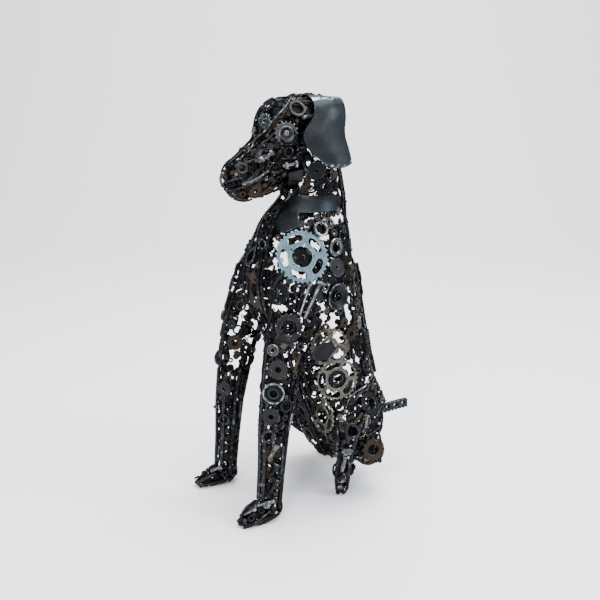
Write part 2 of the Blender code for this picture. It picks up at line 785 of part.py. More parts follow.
def build_disc(disc):
    centre, facing = SEATS[disc.name]
    axes = frame_facing(facing)
    thing = flat_curve(disc.name, disc_outlines(disc), disc.thick, disc.metal)
    height = rest_height(centre, axes, disc.radius, None) + GAP + disc.thick / 2
    thing.matrix_world = matrix_of(axes, centre + height * axes[2])
    carry(thing)
    return centre + height * axes[2], axes


def build_eye(side, gear_place, axes):
    """A bearing ring with a groove and a ball in its middle, turned about the gear's axis."""
    groove = EYE_RING_THICK - EYE_GROOVE_DEPTH
    dome = [(EYE_BALL_RADIUS * math.sin(a), groove + EYE_BALL_RADIUS * math.cos(a))
            for a in np.linspace(0, math.pi / 2, 4)]
    dome[0] = (0, dome[0][1])
    ring = [(EYE_GROOVE_RADIUS, groove), (EYE_GROOVE_RADIUS, EYE_RING_THICK),
            (EYE_RING_RADIUS, EYE_RING_THICK), (EYE_RING_RADIUS, 0), (0, 0)]
    thing = turned(side + "_eye", dome + ring, EYE_STEPS, "bright steel")
    height = rest_height(gear_place, axes, EYE_RING_RADIUS, None) + GAP
    thing.matrix_world = matrix_of(axes, gear_place + height * axes[2])
    carry(thing)


# Bolts, rods and the spring
def turned(name, profile, steps, metal_name):
    """A turned solid: the profile runs down its outer side, from the axis to the axis."""
    mesh = new_mesh(name, [(r, 0, z) for r, z in profile], [])
    mesh.edges.add(len(profile) - 1)
    for index, edge in enumerate(mesh.edges):
        edge.vertices = (index, index + 1)
    thing = add_object(name, mesh, metal_name)
    screw = thing.modifiers.new("Turn", "SCREW")
    screw.steps = steps
    screw.render_steps = steps
    screw.use_smooth_shade = steps > BOLT_SIDES
    screw.use_merge_vertices = True
    screw.merge_threshold = 0.0001
    return thing


def build_bolt(bolt):
    tail, head = from_side(bolt.side, [bolt.tail, bolt.head])
    along = (head - tail) / np.linalg.norm(head - tail)
    middle = (head + tail) / 2
    axes = frame_facing(form_normal(middle[None])[0], along)
    length = np.linalg.norm(head - tail)
    end = length / 2
    neck = end - BOLT_HEAD_HEIGHT * bolt.radius
    profile = [(0, end), (bolt.head_radius, end), (bolt.head_radius, neck),
               (bolt.radius, neck), (bolt.radius, -end), (0, -end)]
    thing = turned(bolt.name, profile, BOLT_SIDES, "bright steel")
    height = rest_height(middle, axes, bolt.head_radius, end) + bolt.head_radius + GAP
    standing = (axes[0], -axes[2], axes[1])
    thing.matrix_world = matrix_of(standing, middle + height * axes[2])
    carry(thing)


def wire(name, points, radius, metal_name, resolution=1):
    curve = bpy.data.curves.new(name, "CURVE")
    curve.dimensions = "3D"
    curve.bevel_depth = radius
    curve.bevel_resolution = resolution
    curve.use_fill_caps = True
    spline = curve.splines.new("POLY")
    spline.points.add(len(points) - 1)
    spline.points.foreach_set("co", np.column_stack([points, np.ones(len(points))]).ravel())
    return add_object(name, curve, metal_name)


def smooth_path(points, step):
    """A smooth line through the points: each stretch is a Catmull-Rom cubic."""
    points = np.array(points, float)
    ends = np.concatenate([[2 * points[0] - points[1]], points, [2 * points[-1] - points[-2]]])
    path = []
    for a, b, c, d in zip(ends, ends[1:], ends[2:], ends[3:]):
        count = max(2, round(np.linalg.norm(c - b) / step))
        for t in np.arange(count)[:, None] / count:
            path.append(0.5 * (2 * b + (c - a) * t + (2 * a - 5 * b + 4 * c - d) * t**2
                               + (3 * b - a - 3 * c + d) * t**3))
    return np.array(path + [points[-1]])


def build_rod(rod):
    flat = smooth_path(rod.points, ROD_STEP)
    places = from_side(rod.side, flat)
    facings = form_normal(places)
    heights = np.array([
        rest_height(place, frame_facing(facing), ROD_FEEL, None)
        for place, facing in zip(places, facings)
    ])
    padded = np.pad(heights, 1, mode="edge")
    heights = np.maximum(heights, np.maximum(padded[:-2], padded[2:]) - ROD_SETTLE)
    lifted = places + (heights + rod.radius + GAP)[:, None] * facings
    carry(wire(rod.name, lifted, rod.radius, rod.metal))


def build_spring():
    """A helix of round wire lying along the flank's back edge."""
    top, bottom = from_side("left", SPRING_ENDS)
    length = np.linalg.norm(bottom - top)
    along = (bottom - top) / length
    middle = (top + bottom) / 2
    axes = frame_facing(form_normal(middle[None])[0], along)
    lift = rest_height(middle, axes, SPRING_RADIUS, length / 2) + SPRING_RADIUS + SPRING_WIRE + GAP
    share = np.linspace(0, 1, SPRING_TURNS * SPRING_STEPS + 1)[:, None]
    angle = share * SPRING_TURNS * 2 * math.pi
    around = SPRING_RADIUS * (np.cos(angle) * axes[0] + np.sin(angle) * axes[2])
    points = middle + lift * axes[2] + (share - 0.5) * length * axes[1] + around
    carry(wire("flank_spring", points, SPRING_WIRE, "dark steel", 0))


# Bent sheets
def sheet(name, points, columns, thick, metal_name):
    """A grid of points in rows, closed to a sheet of the given thickness."""
    rows = len(points) // columns
    corners = [r * columns + c for r in range(rows - 1) for c in range(columns - 1)]
    faces = [(at, at + 1, at + columns + 1, at + columns) for at in corners]
    thing = add_object(name, new_mesh(name, points, faces), metal_name)
    wall = thing.modifiers.new("Wall", "SOLIDIFY")
    wall.thickness = thick
    wall.offset = 0
    return thing


def build_ear(side):
    """Rows run from the root on top of the head to the hanging tip, bulging in the middle."""
    sign = 1 if side == "left" else -1
    shares = np.linspace(0, 1, EAR_COLUMNS)
    arch = np.sin(math.pi * shares)
    rows = []
    for x, front, back, z in EAR_ROWS:
        across = front + shares * (back - front)
        if z is None:
            row = from_side("top", np.column_stack([np.full(EAR_COLUMNS, x), across]))
            row[:, 2] += EAR_CLEARANCE
        else:
            drop = EAR_TIP_DROP * arch if z == EAR_ROWS[-1][3] else 0 * arch
            row = np.column_stack([x + EAR_BULGE * arch, across, z - drop])
        rows.append(row * (sign, 1, 1))
    ear = sheet(side + "_ear", np.concatenate(rows), EAR_COLUMNS, EAR_THICKNESS, "ear steel")
    if sign > 0:
        ear.data.flip_normals()
    carry(ear)


def build_collar():
    levels = np.linspace(COLLAR_LOW, COLLAR_HIGH, 3)
    points = []
    for level in levels:
        trim = 0 if level == levels[1] else COLLAR_ROUNDING
        for angle in np.linspace(COLLAR_FROM + trim, COLLAR_TO - trim, COLLAR_STEPS):
            out = np.array((math.cos(angle), math.sin(angle), 0))
            point = np.array((0, COLLAR_AXIS_Y, level)) + out * DROP_FROM
            for _ in range(DROP_ROUNDS):
                away = form_distance(point[None])[0] - COLLAR_CLEARANCE
                point = point - DROP_SHARE * min(away, DROP_MOST) * out
            points.append(point)
    carry(sheet("collar_plate", points, COLLAR_STEPS, COLLAR_THICKNESS, "dark steel"))


def build_tail():
    """Outline in the plane of symmetry: smooth above, toothed below, with a row of holes."""
    root = from_side("back", [(0, TAIL_LEVEL)])[0]
    axes = (np.array((1.0, 0, 0)), np.array((0, 0, 1.0)), np.array((0, 1.0, 0)))
    start = root[1] + rest_height(root, axes, TAIL_THICKNESS / 2, TAIL_HEIGHT / 2) + GAP
    length = TAIL_TIP - start
    across = np.linspace(0, 1, 2 * TAIL_TEETH + 1)
    rise = TAIL_RISE * np.sin(across * math.pi / 2)
    notch = TAIL_TOOTH * (np.arange(2 * TAIL_TEETH + 1) % 2)
    lower = np.column_stack([across * length, rise - TAIL_HEIGHT / 2 + notch])
    back = np.linspace(1, 0, TAIL_STEPS)
    crest = TAIL_RISE * np.sin(back * math.pi / 2) + TAIL_HEIGHT / 2
    outlines = [np.concatenate([lower, np.column_stack([back * length, crest])])]
    for index in range(TAIL_HOLES):
        share = (index + 1) / (TAIL_HOLES + 1)
        middle = (share * length, TAIL_RISE * math.sin(share * math.pi / 2) + TAIL_TOOTH / 2)
        outlines.append(circle(TAIL_HOLE_RADIUS) + middle)
    tail = flat_curve("tail_rack", outlines, TAIL_THICKNESS, "dark steel")
    tail.matrix_world = matrix_of(((0, 1, 0), (0, 0, 1), (1, 0, 0)), (0, start, TAIL_LEVEL))
    carry(tail)


def build_discs():
    for disc in DISCS:
        place, axes = build_disc(disc)
        if disc.name.endswith("_eye_gear"):
            build_eye(disc.side, place, axes)


def centre_on_origin():
    """Moves everything so that the middle of the footprint's box is the origin."""
    low, high = np.full(3, np.inf), np.full(3, -np.inf)
    for thing in COLLECTION.objects:
        mesh = evaluated_mesh(thing)
        points, _ = mesh_arrays(mesh)
        world = np.array(thing.matrix_world)
        points = points @ world[:3, :3].T + world[:3, 3]
        low, high = np.minimum(low, points.min(axis=0)), np.maximum(high, points.max(axis=0))
        bpy.data.meshes.remove(mesh)
    move = Matrix.Translation((-(low[0] + high[0]) / 2, -(low[1] + high[1]) / 2, -low[2]))
    for thing in COLLECTION.objects:
        thing.matrix_world = move @ thing.matrix_world


clear_scene()
COLLECTION = bpy.data.collections.new("scrap_metal_dog")
bpy.context.scene.collection.children.link(COLLECTION)
SEATS = disc_seats()
CARRIED = build_skins()
build_collar()
build_discs()
for each_bolt in BOLTS:
    build_bolt(each_bolt)
for each_side in ("left", "right"):
    build_ear(each_side)
for each_rod in RODS:
    build_rod(each_rod)
build_spring()
build_tail()
centre_on_origin()
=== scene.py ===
import math
from collections import namedtuple

import bpy
import numpy as np
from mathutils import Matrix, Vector
from mathutils.kdtree import KDTree


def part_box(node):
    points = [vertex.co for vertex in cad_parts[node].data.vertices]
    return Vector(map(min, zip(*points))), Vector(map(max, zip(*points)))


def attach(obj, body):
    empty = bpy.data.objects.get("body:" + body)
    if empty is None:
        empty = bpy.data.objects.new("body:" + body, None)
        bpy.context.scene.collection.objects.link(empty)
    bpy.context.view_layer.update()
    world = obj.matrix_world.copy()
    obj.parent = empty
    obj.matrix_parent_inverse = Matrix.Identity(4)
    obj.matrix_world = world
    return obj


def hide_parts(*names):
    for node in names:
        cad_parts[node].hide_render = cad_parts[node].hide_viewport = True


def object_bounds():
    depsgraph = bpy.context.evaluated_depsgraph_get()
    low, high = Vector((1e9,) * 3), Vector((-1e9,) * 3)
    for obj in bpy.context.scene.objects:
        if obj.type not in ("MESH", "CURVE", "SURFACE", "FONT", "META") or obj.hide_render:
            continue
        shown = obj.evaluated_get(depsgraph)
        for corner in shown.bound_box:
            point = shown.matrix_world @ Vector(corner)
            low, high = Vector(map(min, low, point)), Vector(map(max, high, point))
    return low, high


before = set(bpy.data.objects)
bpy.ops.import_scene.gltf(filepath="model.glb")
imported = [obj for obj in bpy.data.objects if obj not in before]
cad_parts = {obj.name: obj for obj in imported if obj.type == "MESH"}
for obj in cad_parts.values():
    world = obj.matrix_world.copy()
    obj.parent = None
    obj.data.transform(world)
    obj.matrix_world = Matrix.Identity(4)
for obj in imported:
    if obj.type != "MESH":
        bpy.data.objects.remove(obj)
cad_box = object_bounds()

# Studio
# A pale floor that sweeps up to a wall, under broad soft lights, and the camera as it stood
# for the photograph: three steps away, chest high, a little in front of the dog's left side.
TAIL_TIP_Y = 0.298
tail_low, tail_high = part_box("tail_rack")
DOG = np.array(((tail_low.x + tail_high.x) / 2, tail_high.y - TAIL_TIP_Y, 0.0))

CAMERA_TURN = math.radians(57.36)
CAMERA_REACH = 2.131
CAMERA_HEIGHT = 1.043
CAMERA_AIM = (-0.025, -0.040, 0.504)
CAMERA_LENS = 50.86
SENSOR_WIDTH = 36.0

camera_data = bpy.data.cameras.new("camera")
camera_data.sensor_width = SENSOR_WIDTH
camera_data.lens = CAMERA_LENS
camera = bpy.data.objects.new("camera", camera_data)
camera_stand = (math.sin(CAMERA_TURN) * CAMERA_REACH, -math.cos(CAMERA_TURN) * CAMERA_REACH, CAMERA_HEIGHT)
camera.location = Vector(DOG) + Vector(camera_stand)
sight = Vector(CAMERA_AIM) - Vector(camera_stand)
camera.rotation_euler = sight.to_track_quat("-Z", "Y").to_euler()
bpy.context.scene.collection.objects.link(camera)
bpy.context.scene.camera = camera

BREAST_HIGH, FOOT_OF_WALL = (0, 0, 0.5), (-3.2, 2.4, 1.2)
# name, place, side, power, colour, what it is aimed at
LIGHTS = [
    ("sky_panel", (0.3, 0.2, 3.2), 2.6, 190, (0.95, 0.98, 1.0), BREAST_HIGH),
    ("front_panel", (2.2, -2.6, 2.4), 0.8, 90, (1.0, 0.99, 0.97), BREAST_HIGH),
    ("back_panel", (2.6, 2.0, 2.2), 0.7, 80, (0.88, 0.95, 1.0), BREAST_HIGH),
    ("wall_panel", (-1.2, 1.2, 5.0), 3.0, 260, (1.0, 1.0, 1.0), FOOT_OF_WALL),
]
for name, stand, side, power, colour, aim in LIGHTS:
    light = bpy.data.lights.new(name, "AREA")
    light.size = side
    light.energy = power
    light.color = colour
    panel = bpy.data.objects.new(name, light)
    panel.location = stand
    panel.rotation_euler = (Vector(aim) - Vector(stand)).to_track_quat("-Z", "Y").to_euler()
    bpy.context.scene.collection.objects.link(panel)

SKY_COLOUR, SKY_STRENGTH = (0.90, 0.93, 1.0, 1), 1.1
world = bpy.data.worlds.new("studio")
world.use_nodes = True
background = world.node_tree.nodes["Background"]
background.inputs["Color"].default_value = SKY_COLOUR
background.inputs["Strength"].default_value = SKY_STRENGTH
bpy.context.scene.world = world

FLOOR_WIDE, FLOOR_NEAR, FLOOR_FAR, SWEEP_RADIUS, SWEEP_POINTS, WALL_TOP = 16.0, -6.0, 3.2, 1.6, 17, 7.0
FLOOR_COLOUR, FLOOR_ROUGHNESS = (0.88, 0.88, 0.89, 1), 0.7
turn = np.linspace(0, math.pi / 2, SWEEP_POINTS)
reach = np.concatenate([[FLOOR_NEAR], FLOOR_FAR + SWEEP_RADIUS * np.sin(turn), [FLOOR_FAR + SWEEP_RADIUS]])
rise = np.concatenate([[0], SWEEP_RADIUS * (1 - np.cos(turn)), [WALL_TOP]])
ahead = np.array((-math.sin(CAMERA_TURN), math.cos(CAMERA_TURN)))
beside = np.array((ahead[1], -ahead[0]))
sweep = [(*(r * ahead + side * FLOOR_WIDE / 2 * beside), h) for r, h in zip(reach, rise) for side in (-1, 1)]
floor_mesh = bpy.data.meshes.new("floor")
floor_mesh.from_pydata(sweep, [], [(2 * i, 2 * i + 1, 2 * i + 3, 2 * i + 2) for i in range(len(reach) - 1)])
floor_mesh.shade_smooth()
floor = bpy.data.objects.new("floor", floor_mesh)
floor_paint = bpy.data.materials.new("pale floor")
floor_paint.use_nodes = True
paint_shader = floor_paint.node_tree.nodes["Principled BSDF"]
paint_shader.inputs["Base Color"].default_value = FLOOR_COLOUR
paint_shader.inputs["Roughness"].default_value = FLOOR_ROUGHNESS
floor_mesh.materials.append(floor_paint)
bpy.context.scene.collection.objects.link(floor)

# Steel
# All the scrap is old steel, left as it was found, its base colours far darker than steel: a painted dark
# reflection of dark surroundings. It is browned by rust, dull grey, tan or blue where plating is left, and
# rubbed bright along its edges; that bright colour also paints a sheen and highlight on the ears and glints on
# round bars.
Finish = namedtuple("Finish", "body second rust edge rust_share roughness wear")
# body and second are kept near black, a painted dark reflection; edge is the colour of rubbed edges and of the
# painted sheen and glints
STEELS = {
    "dark steel": Finish((0.008, 0.0085, 0.010), (0.032, 0.032, 0.034), (0.022, 0.015, 0.011),
                         (0.19, 0.205, 0.225), 0.02, 0.36, 0.72),
    "rusty steel": Finish((0.017, 0.014, 0.011), (0.042, 0.033, 0.025), (0.030, 0.019, 0.012),
                          (0.14, 0.12, 0.10), 0.22, 0.46, 0.62),
    "tan steel": Finish((0.062, 0.058, 0.049), (0.125, 0.116, 0.098), (0.034, 0.027, 0.020),
                        (0.34, 0.32, 0.28), 0.08, 0.40, 0.70),
    "blue steel": Finish((0.075, 0.140, 0.175), (0.250, 0.400, 0.470), (0.050, 0.082, 0.098),
                         (0.62, 0.80, 0.87), 0.06, 0.24, 0.85),
    "bright steel": Finish((0.045, 0.046, 0.048), (0.190, 0.195, 0.200), (0.030, 0.025, 0.020),
                           (0.50, 0.53, 0.56), 0.12, 0.28, 0.82),
    # its edge colour is also the colour of the painted sheen and highlight on the ears
    "ear steel": Finish((0.013, 0.015, 0.017), (0.030, 0.035, 0.039), (0.018, 0.018, 0.018),
                        (0.34, 0.45, 0.49), 0.04, 0.40, 0.90),
}


def new_group(name, inputs, outputs):
    """An empty shader group; returns its tree, its input node and its output node."""
    tree = bpy.data.node_groups.new(name, "ShaderNodeTree")
    for label, kind in inputs:
        tree.interface.new_socket(label, in_out="INPUT", socket_type=kind)
    for label, kind in outputs:
        tree.interface.new_socket(label, in_out="OUTPUT", socket_type=kind)
    return tree, tree.nodes.new("NodeGroupInput"), tree.nodes.new("NodeGroupOutput")


def node(tree, kind, links, settings=(), **values):
    """Adds a node, sets its sockets by name or number, and links what feeds it."""
    made = tree.nodes.new(kind)
    for label, value in settings:
        setattr(made, label, value)
    for label, value in values.items():
        made.inputs[label.replace("_", " ")].default_value = value
    for socket, source in links.items():
        tree.links.new(source, made.inputs[socket])
    return made


def noise(tree, place, scale, detail, roughness):
    """Noise over a place, from 0 to 1."""
    return node(tree, "ShaderNodeTexNoise", {"Vector": place},
                Scale=scale, Detail=detail, Roughness=roughness).outputs["Fac"]


def patches_group():
    """Mask of rust: two sizes of noise added, lifted by the share, and cut to soft patches."""
    tree, given, out = new_group("rust patches", [("Place", "NodeSocketVector"), ("Share", "NodeSocketFloat")],
                                 [("Mask", "NodeSocketFloat")])
    place = given.outputs["Place"]
    both = node(tree, "ShaderNodeMath", {0: noise(tree, place, 26, 4, 0.6), 1: noise(tree, place, 210, 3, 0.7)})
    lifted = node(tree, "ShaderNodeMath", {0: both.outputs[0], 1: given.outputs["Share"]})
    soft = node(tree, "ShaderNodeMapRange", {"Value": lifted.outputs[0]}, From_Min=1.18, From_Max=1.42)
    tree.links.new(soft.outputs[0], out.inputs["Mask"])
    return tree


def rubbed_and_highlight_group():
    """Mask of bright edges, worn ones and painted sheen, highlights and glints: the edge value of the mesh, broken
    by noise, then sharpened.
    """
    tree, given, out = new_group("rubbed edges", [("Place", "NodeSocketVector"), ("Edge", "NodeSocketFloat")],
                                 [("Mask", "NodeSocketFloat")])
    spread = node(tree, "ShaderNodeMapRange", {"Value": noise(tree, given.outputs["Place"], 120, 4, 0.65)},
                  From_Min=0.30, From_Max=0.70, To_Min=-0.60, To_Max=0.25)
    total = node(tree, "ShaderNodeMath", {0: spread.outputs[0], 1: given.outputs["Edge"]})
    sharp = node(tree, "ShaderNodeMapRange", {"Value": total.outputs[0]}, From_Min=0.45, From_Max=0.95)
    tree.links.new(sharp.outputs[0], out.inputs["Mask"])
    return tree


def grain_group():
    """Height of scale and pitting, and a slow shade that darkens and lightens the metal."""
    tree, given, out = new_group("steel grain", [("Place", "NodeSocketVector")],
                                 [("Height", "NodeSocketFloat"), ("Shade", "NodeSocketFloat")])
    place = given.outputs["Place"]
    both = node(tree, "ShaderNodeMath", {0: noise(tree, place, 480, 3, 0.7), 1: noise(tree, place, 90, 2, 0.5)})
    tree.links.new(both.outputs[0], out.inputs["Height"])
    tree.links.new(noise(tree, place, 46, 3, 0.6), out.inputs["Shade"])
    return tree


PATCHES, RUBBED_AND_HIGHLIGHT, GRAIN = patches_group(), rubbed_and_highlight_group(), grain_group()


def mix(tree, share, first, second):
    """Mixes two colours, each a socket or a plain colour."""
    made = tree.nodes.new("ShaderNodeMix")
    made.data_type = "RGBA"
    tree.links.new(share, made.inputs["Factor"])
    for socket, colour in ((made.inputs[6], first), (made.inputs[7], second)):
        if isinstance(colour, tuple):
            socket.default_value = (*colour, 1)
        else:
            tree.links.new(colour, socket)
    return made.outputs[2]


def scaled(tree, source, by, plus=0.0):
    """The source times a number, plus a number or another socket."""
    made = node(tree, "ShaderNodeMath", {0: source}, [("operation", "MULTIPLY_ADD")])
    made.inputs[1].default_value = by
    if isinstance(plus, float):
        made.inputs[2].default_value = plus
    else:
        tree.links.new(plus, made.inputs[2])
    return made.outputs[0]


# the grey grazing tint dims the metals' bright rims at grazing angles, a painted dark reflection of dark
# surroundings
GRAZING_TINT, SPECULAR_LEVEL = (0.55, 0.55, 0.56, 1), 0.28
RUST_BY_TONE, RUST_LESS, RUST_DULLS, RUST_LESS_METAL, RUBBED_AND_HIGHLIGHT_SHINE = 0.42, 0.15, 0.28, -0.70, -0.14


def steel(name):
    """Two shades of the steel by piece and by oil, rust in patches, bright worn edges, and through the same mask a
    painted sheen, highlights and glints.
    """
    finish = STEELS[name]
    material = bpy.data.materials.new(name)
    material.use_nodes = True
    tree = material.node_tree
    shader = tree.nodes["Principled BSDF"]
    shader.inputs["Specular IOR Level"].default_value = SPECULAR_LEVEL
    shader.inputs["Specular Tint"].default_value = GRAZING_TINT
    place = tree.nodes.new("ShaderNodeTexCoord").outputs["Object"]
    tone = node(tree, "ShaderNodeAttribute", {}, [("attribute_name", "tone")]).outputs["Fac"]
    edge = node(tree, "ShaderNodeAttribute", {}, [("attribute_name", "edge")]).outputs["Fac"]
    grain = node(tree, "ShaderNodeGroup", {"Place": place}, [("node_tree", GRAIN)])
    share = scaled(tree, tone, RUST_BY_TONE, finish.rust_share - RUST_LESS)
    rust = node(tree, "ShaderNodeGroup", {"Place": place, "Share": share}, [("node_tree", PATCHES)])
    # the edge value carries wear, and on the ears and round bars a painted sheen, highlight and glint
    worn = scaled(tree, edge, finish.wear)
    rubbed_and_highlight = node(tree, "ShaderNodeGroup", {"Place": place, "Edge": worn}, [("node_tree", RUBBED_AND_HIGHLIGHT)])
    wander = node(tree, "ShaderNodeMath", {0: tone, 1: grain.outputs["Shade"]}, [("operation", "MULTIPLY")])
    lifted = node(tree, "ShaderNodeMapRange", {"Value": wander.outputs[0]}, From_Min=0.05, From_Max=0.50)
    body = mix(tree, lifted.outputs[0], finish.body, finish.second)
    rusted = mix(tree, rust.outputs["Mask"], body, finish.rust)
    colour = mix(tree, rubbed_and_highlight.outputs["Mask"], rusted, finish.edge)
    tree.links.new(colour, shader.inputs["Base Color"])
    dull = scaled(tree, rust.outputs["Mask"], RUST_DULLS, finish.roughness)
    tree.links.new(scaled(tree, rubbed_and_highlight.outputs["Mask"], RUBBED_AND_HIGHLIGHT_SHINE, dull), shader.inputs["Roughness"])
    tree.links.new(scaled(tree, rust.outputs["Mask"], RUST_LESS_METAL, 1.0), shader.inputs["Metallic"])
    bump = node(tree, "ShaderNodeBump", {"Height": grain.outputs["Height"]}, Strength=0.25, Distance=0.0006)
    tree.links.new(bump.outputs["Normal"], shader.inputs["Normal"])
    return material


FINISHES = {name: steel(name) for name in STEELS}

# Pose
# The dog sits upright with its head turned to the front: ribs, neck, skull, muzzle, two
# straight forelegs and two folded hind legs, each a row of oval sections that run together.

# each section: its middle, its half depth, and its width as a share of its depth
TORSO = [
    (0, -0.047, 0.655, 0.118, 0.88), (0, -0.050, 0.560, 0.141, 0.94), (0, -0.006, 0.410, 0.128, 1.00),
    (0, 0.036, 0.280, 0.118, 1.02), (0, 0.066, 0.155, 0.094, 1.15),
]
NECK = [
    (0, -0.036, 0.700, 0.097, 0.85), (0, -0.015, 0.770, 0.077, 0.95),
    (0, -0.026, 0.860, 0.070, 0.98), (0, -0.028, 0.925, 0.070, 0.90),
]
SKULL = [(0, -0.035, 0.950, 0.075, 0.95), (0, -0.102, 0.949, 0.067, 0.98)]
MUZZLE = [(0, -0.105, 0.880, 0.074, 0.80), (0, -0.168, 0.849, 0.063, 0.80), (0, -0.214, 0.829, 0.051, 0.85)]
FORELEG = [
    (0.060, -0.080, 0.650, 0.066, 0.70), (0.100, -0.112, 0.565, 0.074, 0.62), (0.114, -0.158, 0.450, 0.058, 0.72),
    (0.117, -0.186, 0.340, 0.044, 0.88), (0.118, -0.203, 0.240, 0.036, 0.95), (0.119, -0.212, 0.130, 0.030, 1.00),
    (0.119, -0.219, 0.050, 0.028, 1.05),
]
PAW = [(0.119, -0.219, 0.030, 0.030, 1.00), (0.122, -0.260, 0.022, 0.022, 1.20),
       (0.125, -0.294, 0.013, 0.013, 1.50)]
THIGH = [(0.085, 0.062, 0.225, 0.082, 0.60), (0.115, 0.042, 0.200, 0.080, 0.60),
         (0.138, 0.003, 0.180, 0.050, 0.80)]
LEFT_SHANK = [(0.138, 0.003, 0.175, 0.046, 0.80), (0.120, 0.088, 0.110, 0.038, 0.80)]
RIGHT_SHANK = [(-0.138, 0.003, 0.175, 0.046, 0.80), (-0.125, 0.100, 0.085, 0.042, 0.80)]
LEFT_HIND_FOOT = [(0.118, 0.034, 0.130, 0.032, 0.80), (0.112, 0.008, 0.070, 0.024, 0.80),
                  (0.108, 0.006, 0.014, 0.014, 1.00)]
RIGHT_HIND_FOOT = [(-0.110, 0.150, 0.055, 0.040, 0.70), (-0.130, 0.130, 0.030, 0.028, 0.90),
                   (-0.140, 0.115, 0.016, 0.016, 1.30)]


def mirrored(stations):
    """The same sections on the dog's other side."""
    return [(-x, y, z, depth, width) for x, y, z, depth, width in stations]


LIMBS = {
    "torso": [TORSO],
    "neck": [NECK],
    "skull": [SKULL],
    "muzzle": [MUZZLE],
    "left_foreleg": [FORELEG, PAW],
    "right_foreleg": [mirrored(FORELEG), mirrored(PAW)],
    "left_hind_leg": [THIGH, LEFT_SHANK, LEFT_HIND_FOOT],
    "right_hind_leg": [mirrored(THIGH), RIGHT_SHANK, RIGHT_HIND_FOOT],
}
SEGMENTS = np.array([(start, end) for limbs in LIMBS.values() for stations in limbs
                     for start, end in zip(stations, stations[1:])], float)
SEGMENT_LIMB = np.array([index for index, limbs in enumerate(LIMBS.values()) for stations in limbs
                         for _ in stations[1:]])
BLEND = 0.010
CHEST_FACING, BACK_FACING = -0.62, 0.62


def segment_distances(points):
    """For points (n, 3) and each segment: how far outside its run of oval sections they lie."""
    start, run = SEGMENTS[:, 0], SEGMENTS[:, 1] - SEGMENTS[:, 0]
    offset = points[:, None] - DOG - start[:, :3]
    share = np.clip((offset * run[:, :3]).sum(-1) / (run[:, :3] ** 2).sum(-1), 0, 1)
    section = start + share[..., None] * run
    away = points[:, None] - DOG - section[..., :3]
    away[..., 0] /= section[..., 4]
    return (np.linalg.norm(away, axis=-1) - section[..., 3]) * np.minimum(1, section[..., 4]), section


def form_distance(points):
    """Distance outside the dog's form: the soft least of the distances to its limbs."""
    away, _ = segment_distances(np.atleast_2d(points))
    limbs = [away[:, SEGMENT_LIMB == limb].min(axis=1) for limb in range(len(LIMBS))]
    return -BLEND * np.log(np.maximum(np.exp(-np.stack(limbs) / BLEND).sum(axis=0), 1e-300))


def form_normal(points):
    """The way out of the form: the slope of its distance over two millimetres."""
    points = np.atleast_2d(points)
    slope = np.stack([form_distance(points + d) - form_distance(points - d) for d in np.eye(3) * 0.001], axis=1)
    return slope / np.maximum(np.linalg.norm(slope, axis=1, keepdims=True), 1e-9)


def onto_form(points, lift=0.0):
    """Moves points along the way out until they lie this high over the form."""
    points = np.atleast_2d(np.array(points, float))
    for _ in range(5):
        points = points - (form_distance(points) - lift)[:, None] * form_normal(points)
    return points


def region_of(points):
    """The skin that each point of the form belongs to, by its nearest limb and by its facing."""
    away, _ = segment_distances(points)
    names = np.array(list(LIMBS), dtype=object)[SEGMENT_LIMB[np.argmin(away, axis=1)]]
    facing = form_normal(points)[:, 1]
    torso = names == "torso"
    names[torso & (points[:, 0] > DOG[0])] = "left_flank"
    names[torso & (points[:, 0] <= DOG[0])] = "right_flank"
    names[torso & (facing < CHEST_FACING)] = "chest"
    names[torso & (facing > BACK_FACING)] = "back"
    return names


# Outline bars
# Round bar and flat bar, bent cold and welded first: they draw the dog's back, throat, chest
# and legs, and the small scraps are filled in between them.
Shape = namedtuple("Shape", "points edge quads triangles")


def surface(points, edge, ring=False):
    """A grid of rows that close round, from one end to the other.

    A ring joins its last row to its first; otherwise both ends are closed with a middle point.
    """
    rows, columns = points.shape[:2]
    index = np.arange(rows * columns).reshape(rows, columns)
    across = np.roll(index, -1, axis=1)
    if ring:
        along, beside = np.roll(index, -1, axis=0), np.roll(across, -1, axis=0)
        quads = np.stack([index, across, beside, along], axis=-1).reshape(-1, 4)
        triangles = np.zeros((0, 3), int)
        flat = points.reshape(-1, 3)
        wear = np.broadcast_to(edge, (rows, columns)).ravel()
    else:
        quads = np.stack([index[:-1], across[:-1], across[1:], index[1:]], axis=-1).reshape(-1, 4)
        first, last = rows * columns, rows * columns + 1
        triangles = np.concatenate([
            np.stack([across[0], index[0], np.full(columns, first)], axis=-1),
            np.stack([index[-1], across[-1], np.full(columns, last)], axis=-1)])
        flat = np.concatenate([points.reshape(-1, 3), points[0].mean(axis=0)[None], points[-1].mean(axis=0)[None]])
        wear = np.append(np.broadcast_to(edge, (rows, columns)).ravel(), (0, 0))
    corner = np.concatenate([flat[quads[:, :3]], flat[quads[:, [0, 2, 3]]], flat[triangles]])
    if np.einsum("ij,ij->i", corner[:, 0], np.cross(corner[:, 1], corner[:, 2])).sum() < 0:
        quads, triangles = quads[:, ::-1], triangles[:, ::-1]
    return Shape(flat, wear.astype(float), quads, triangles)


def smooth_path(points, step):
    """A Catmull-Rom curve through the points, in steps of about this length."""
    points = np.array(points, float)
    ends = np.concatenate([[2 * points[0] - points[1]], points, [2 * points[-1] - points[-2]]])
    runs = []
    for a, b, c, d in zip(ends, ends[1:], ends[2:], ends[3:]):
        t = np.arange(max(2, round(np.linalg.norm(c - b) / step)))[:, None]
        t = t / len(t)
        runs.append(0.5 * (2 * b + (c - a) * t + (2 * a - 5 * b + 4 * c - d) * t**2
                           + (3 * b - a - 3 * c + d) * t**3))
    return np.concatenate(runs + [points[-1:]])


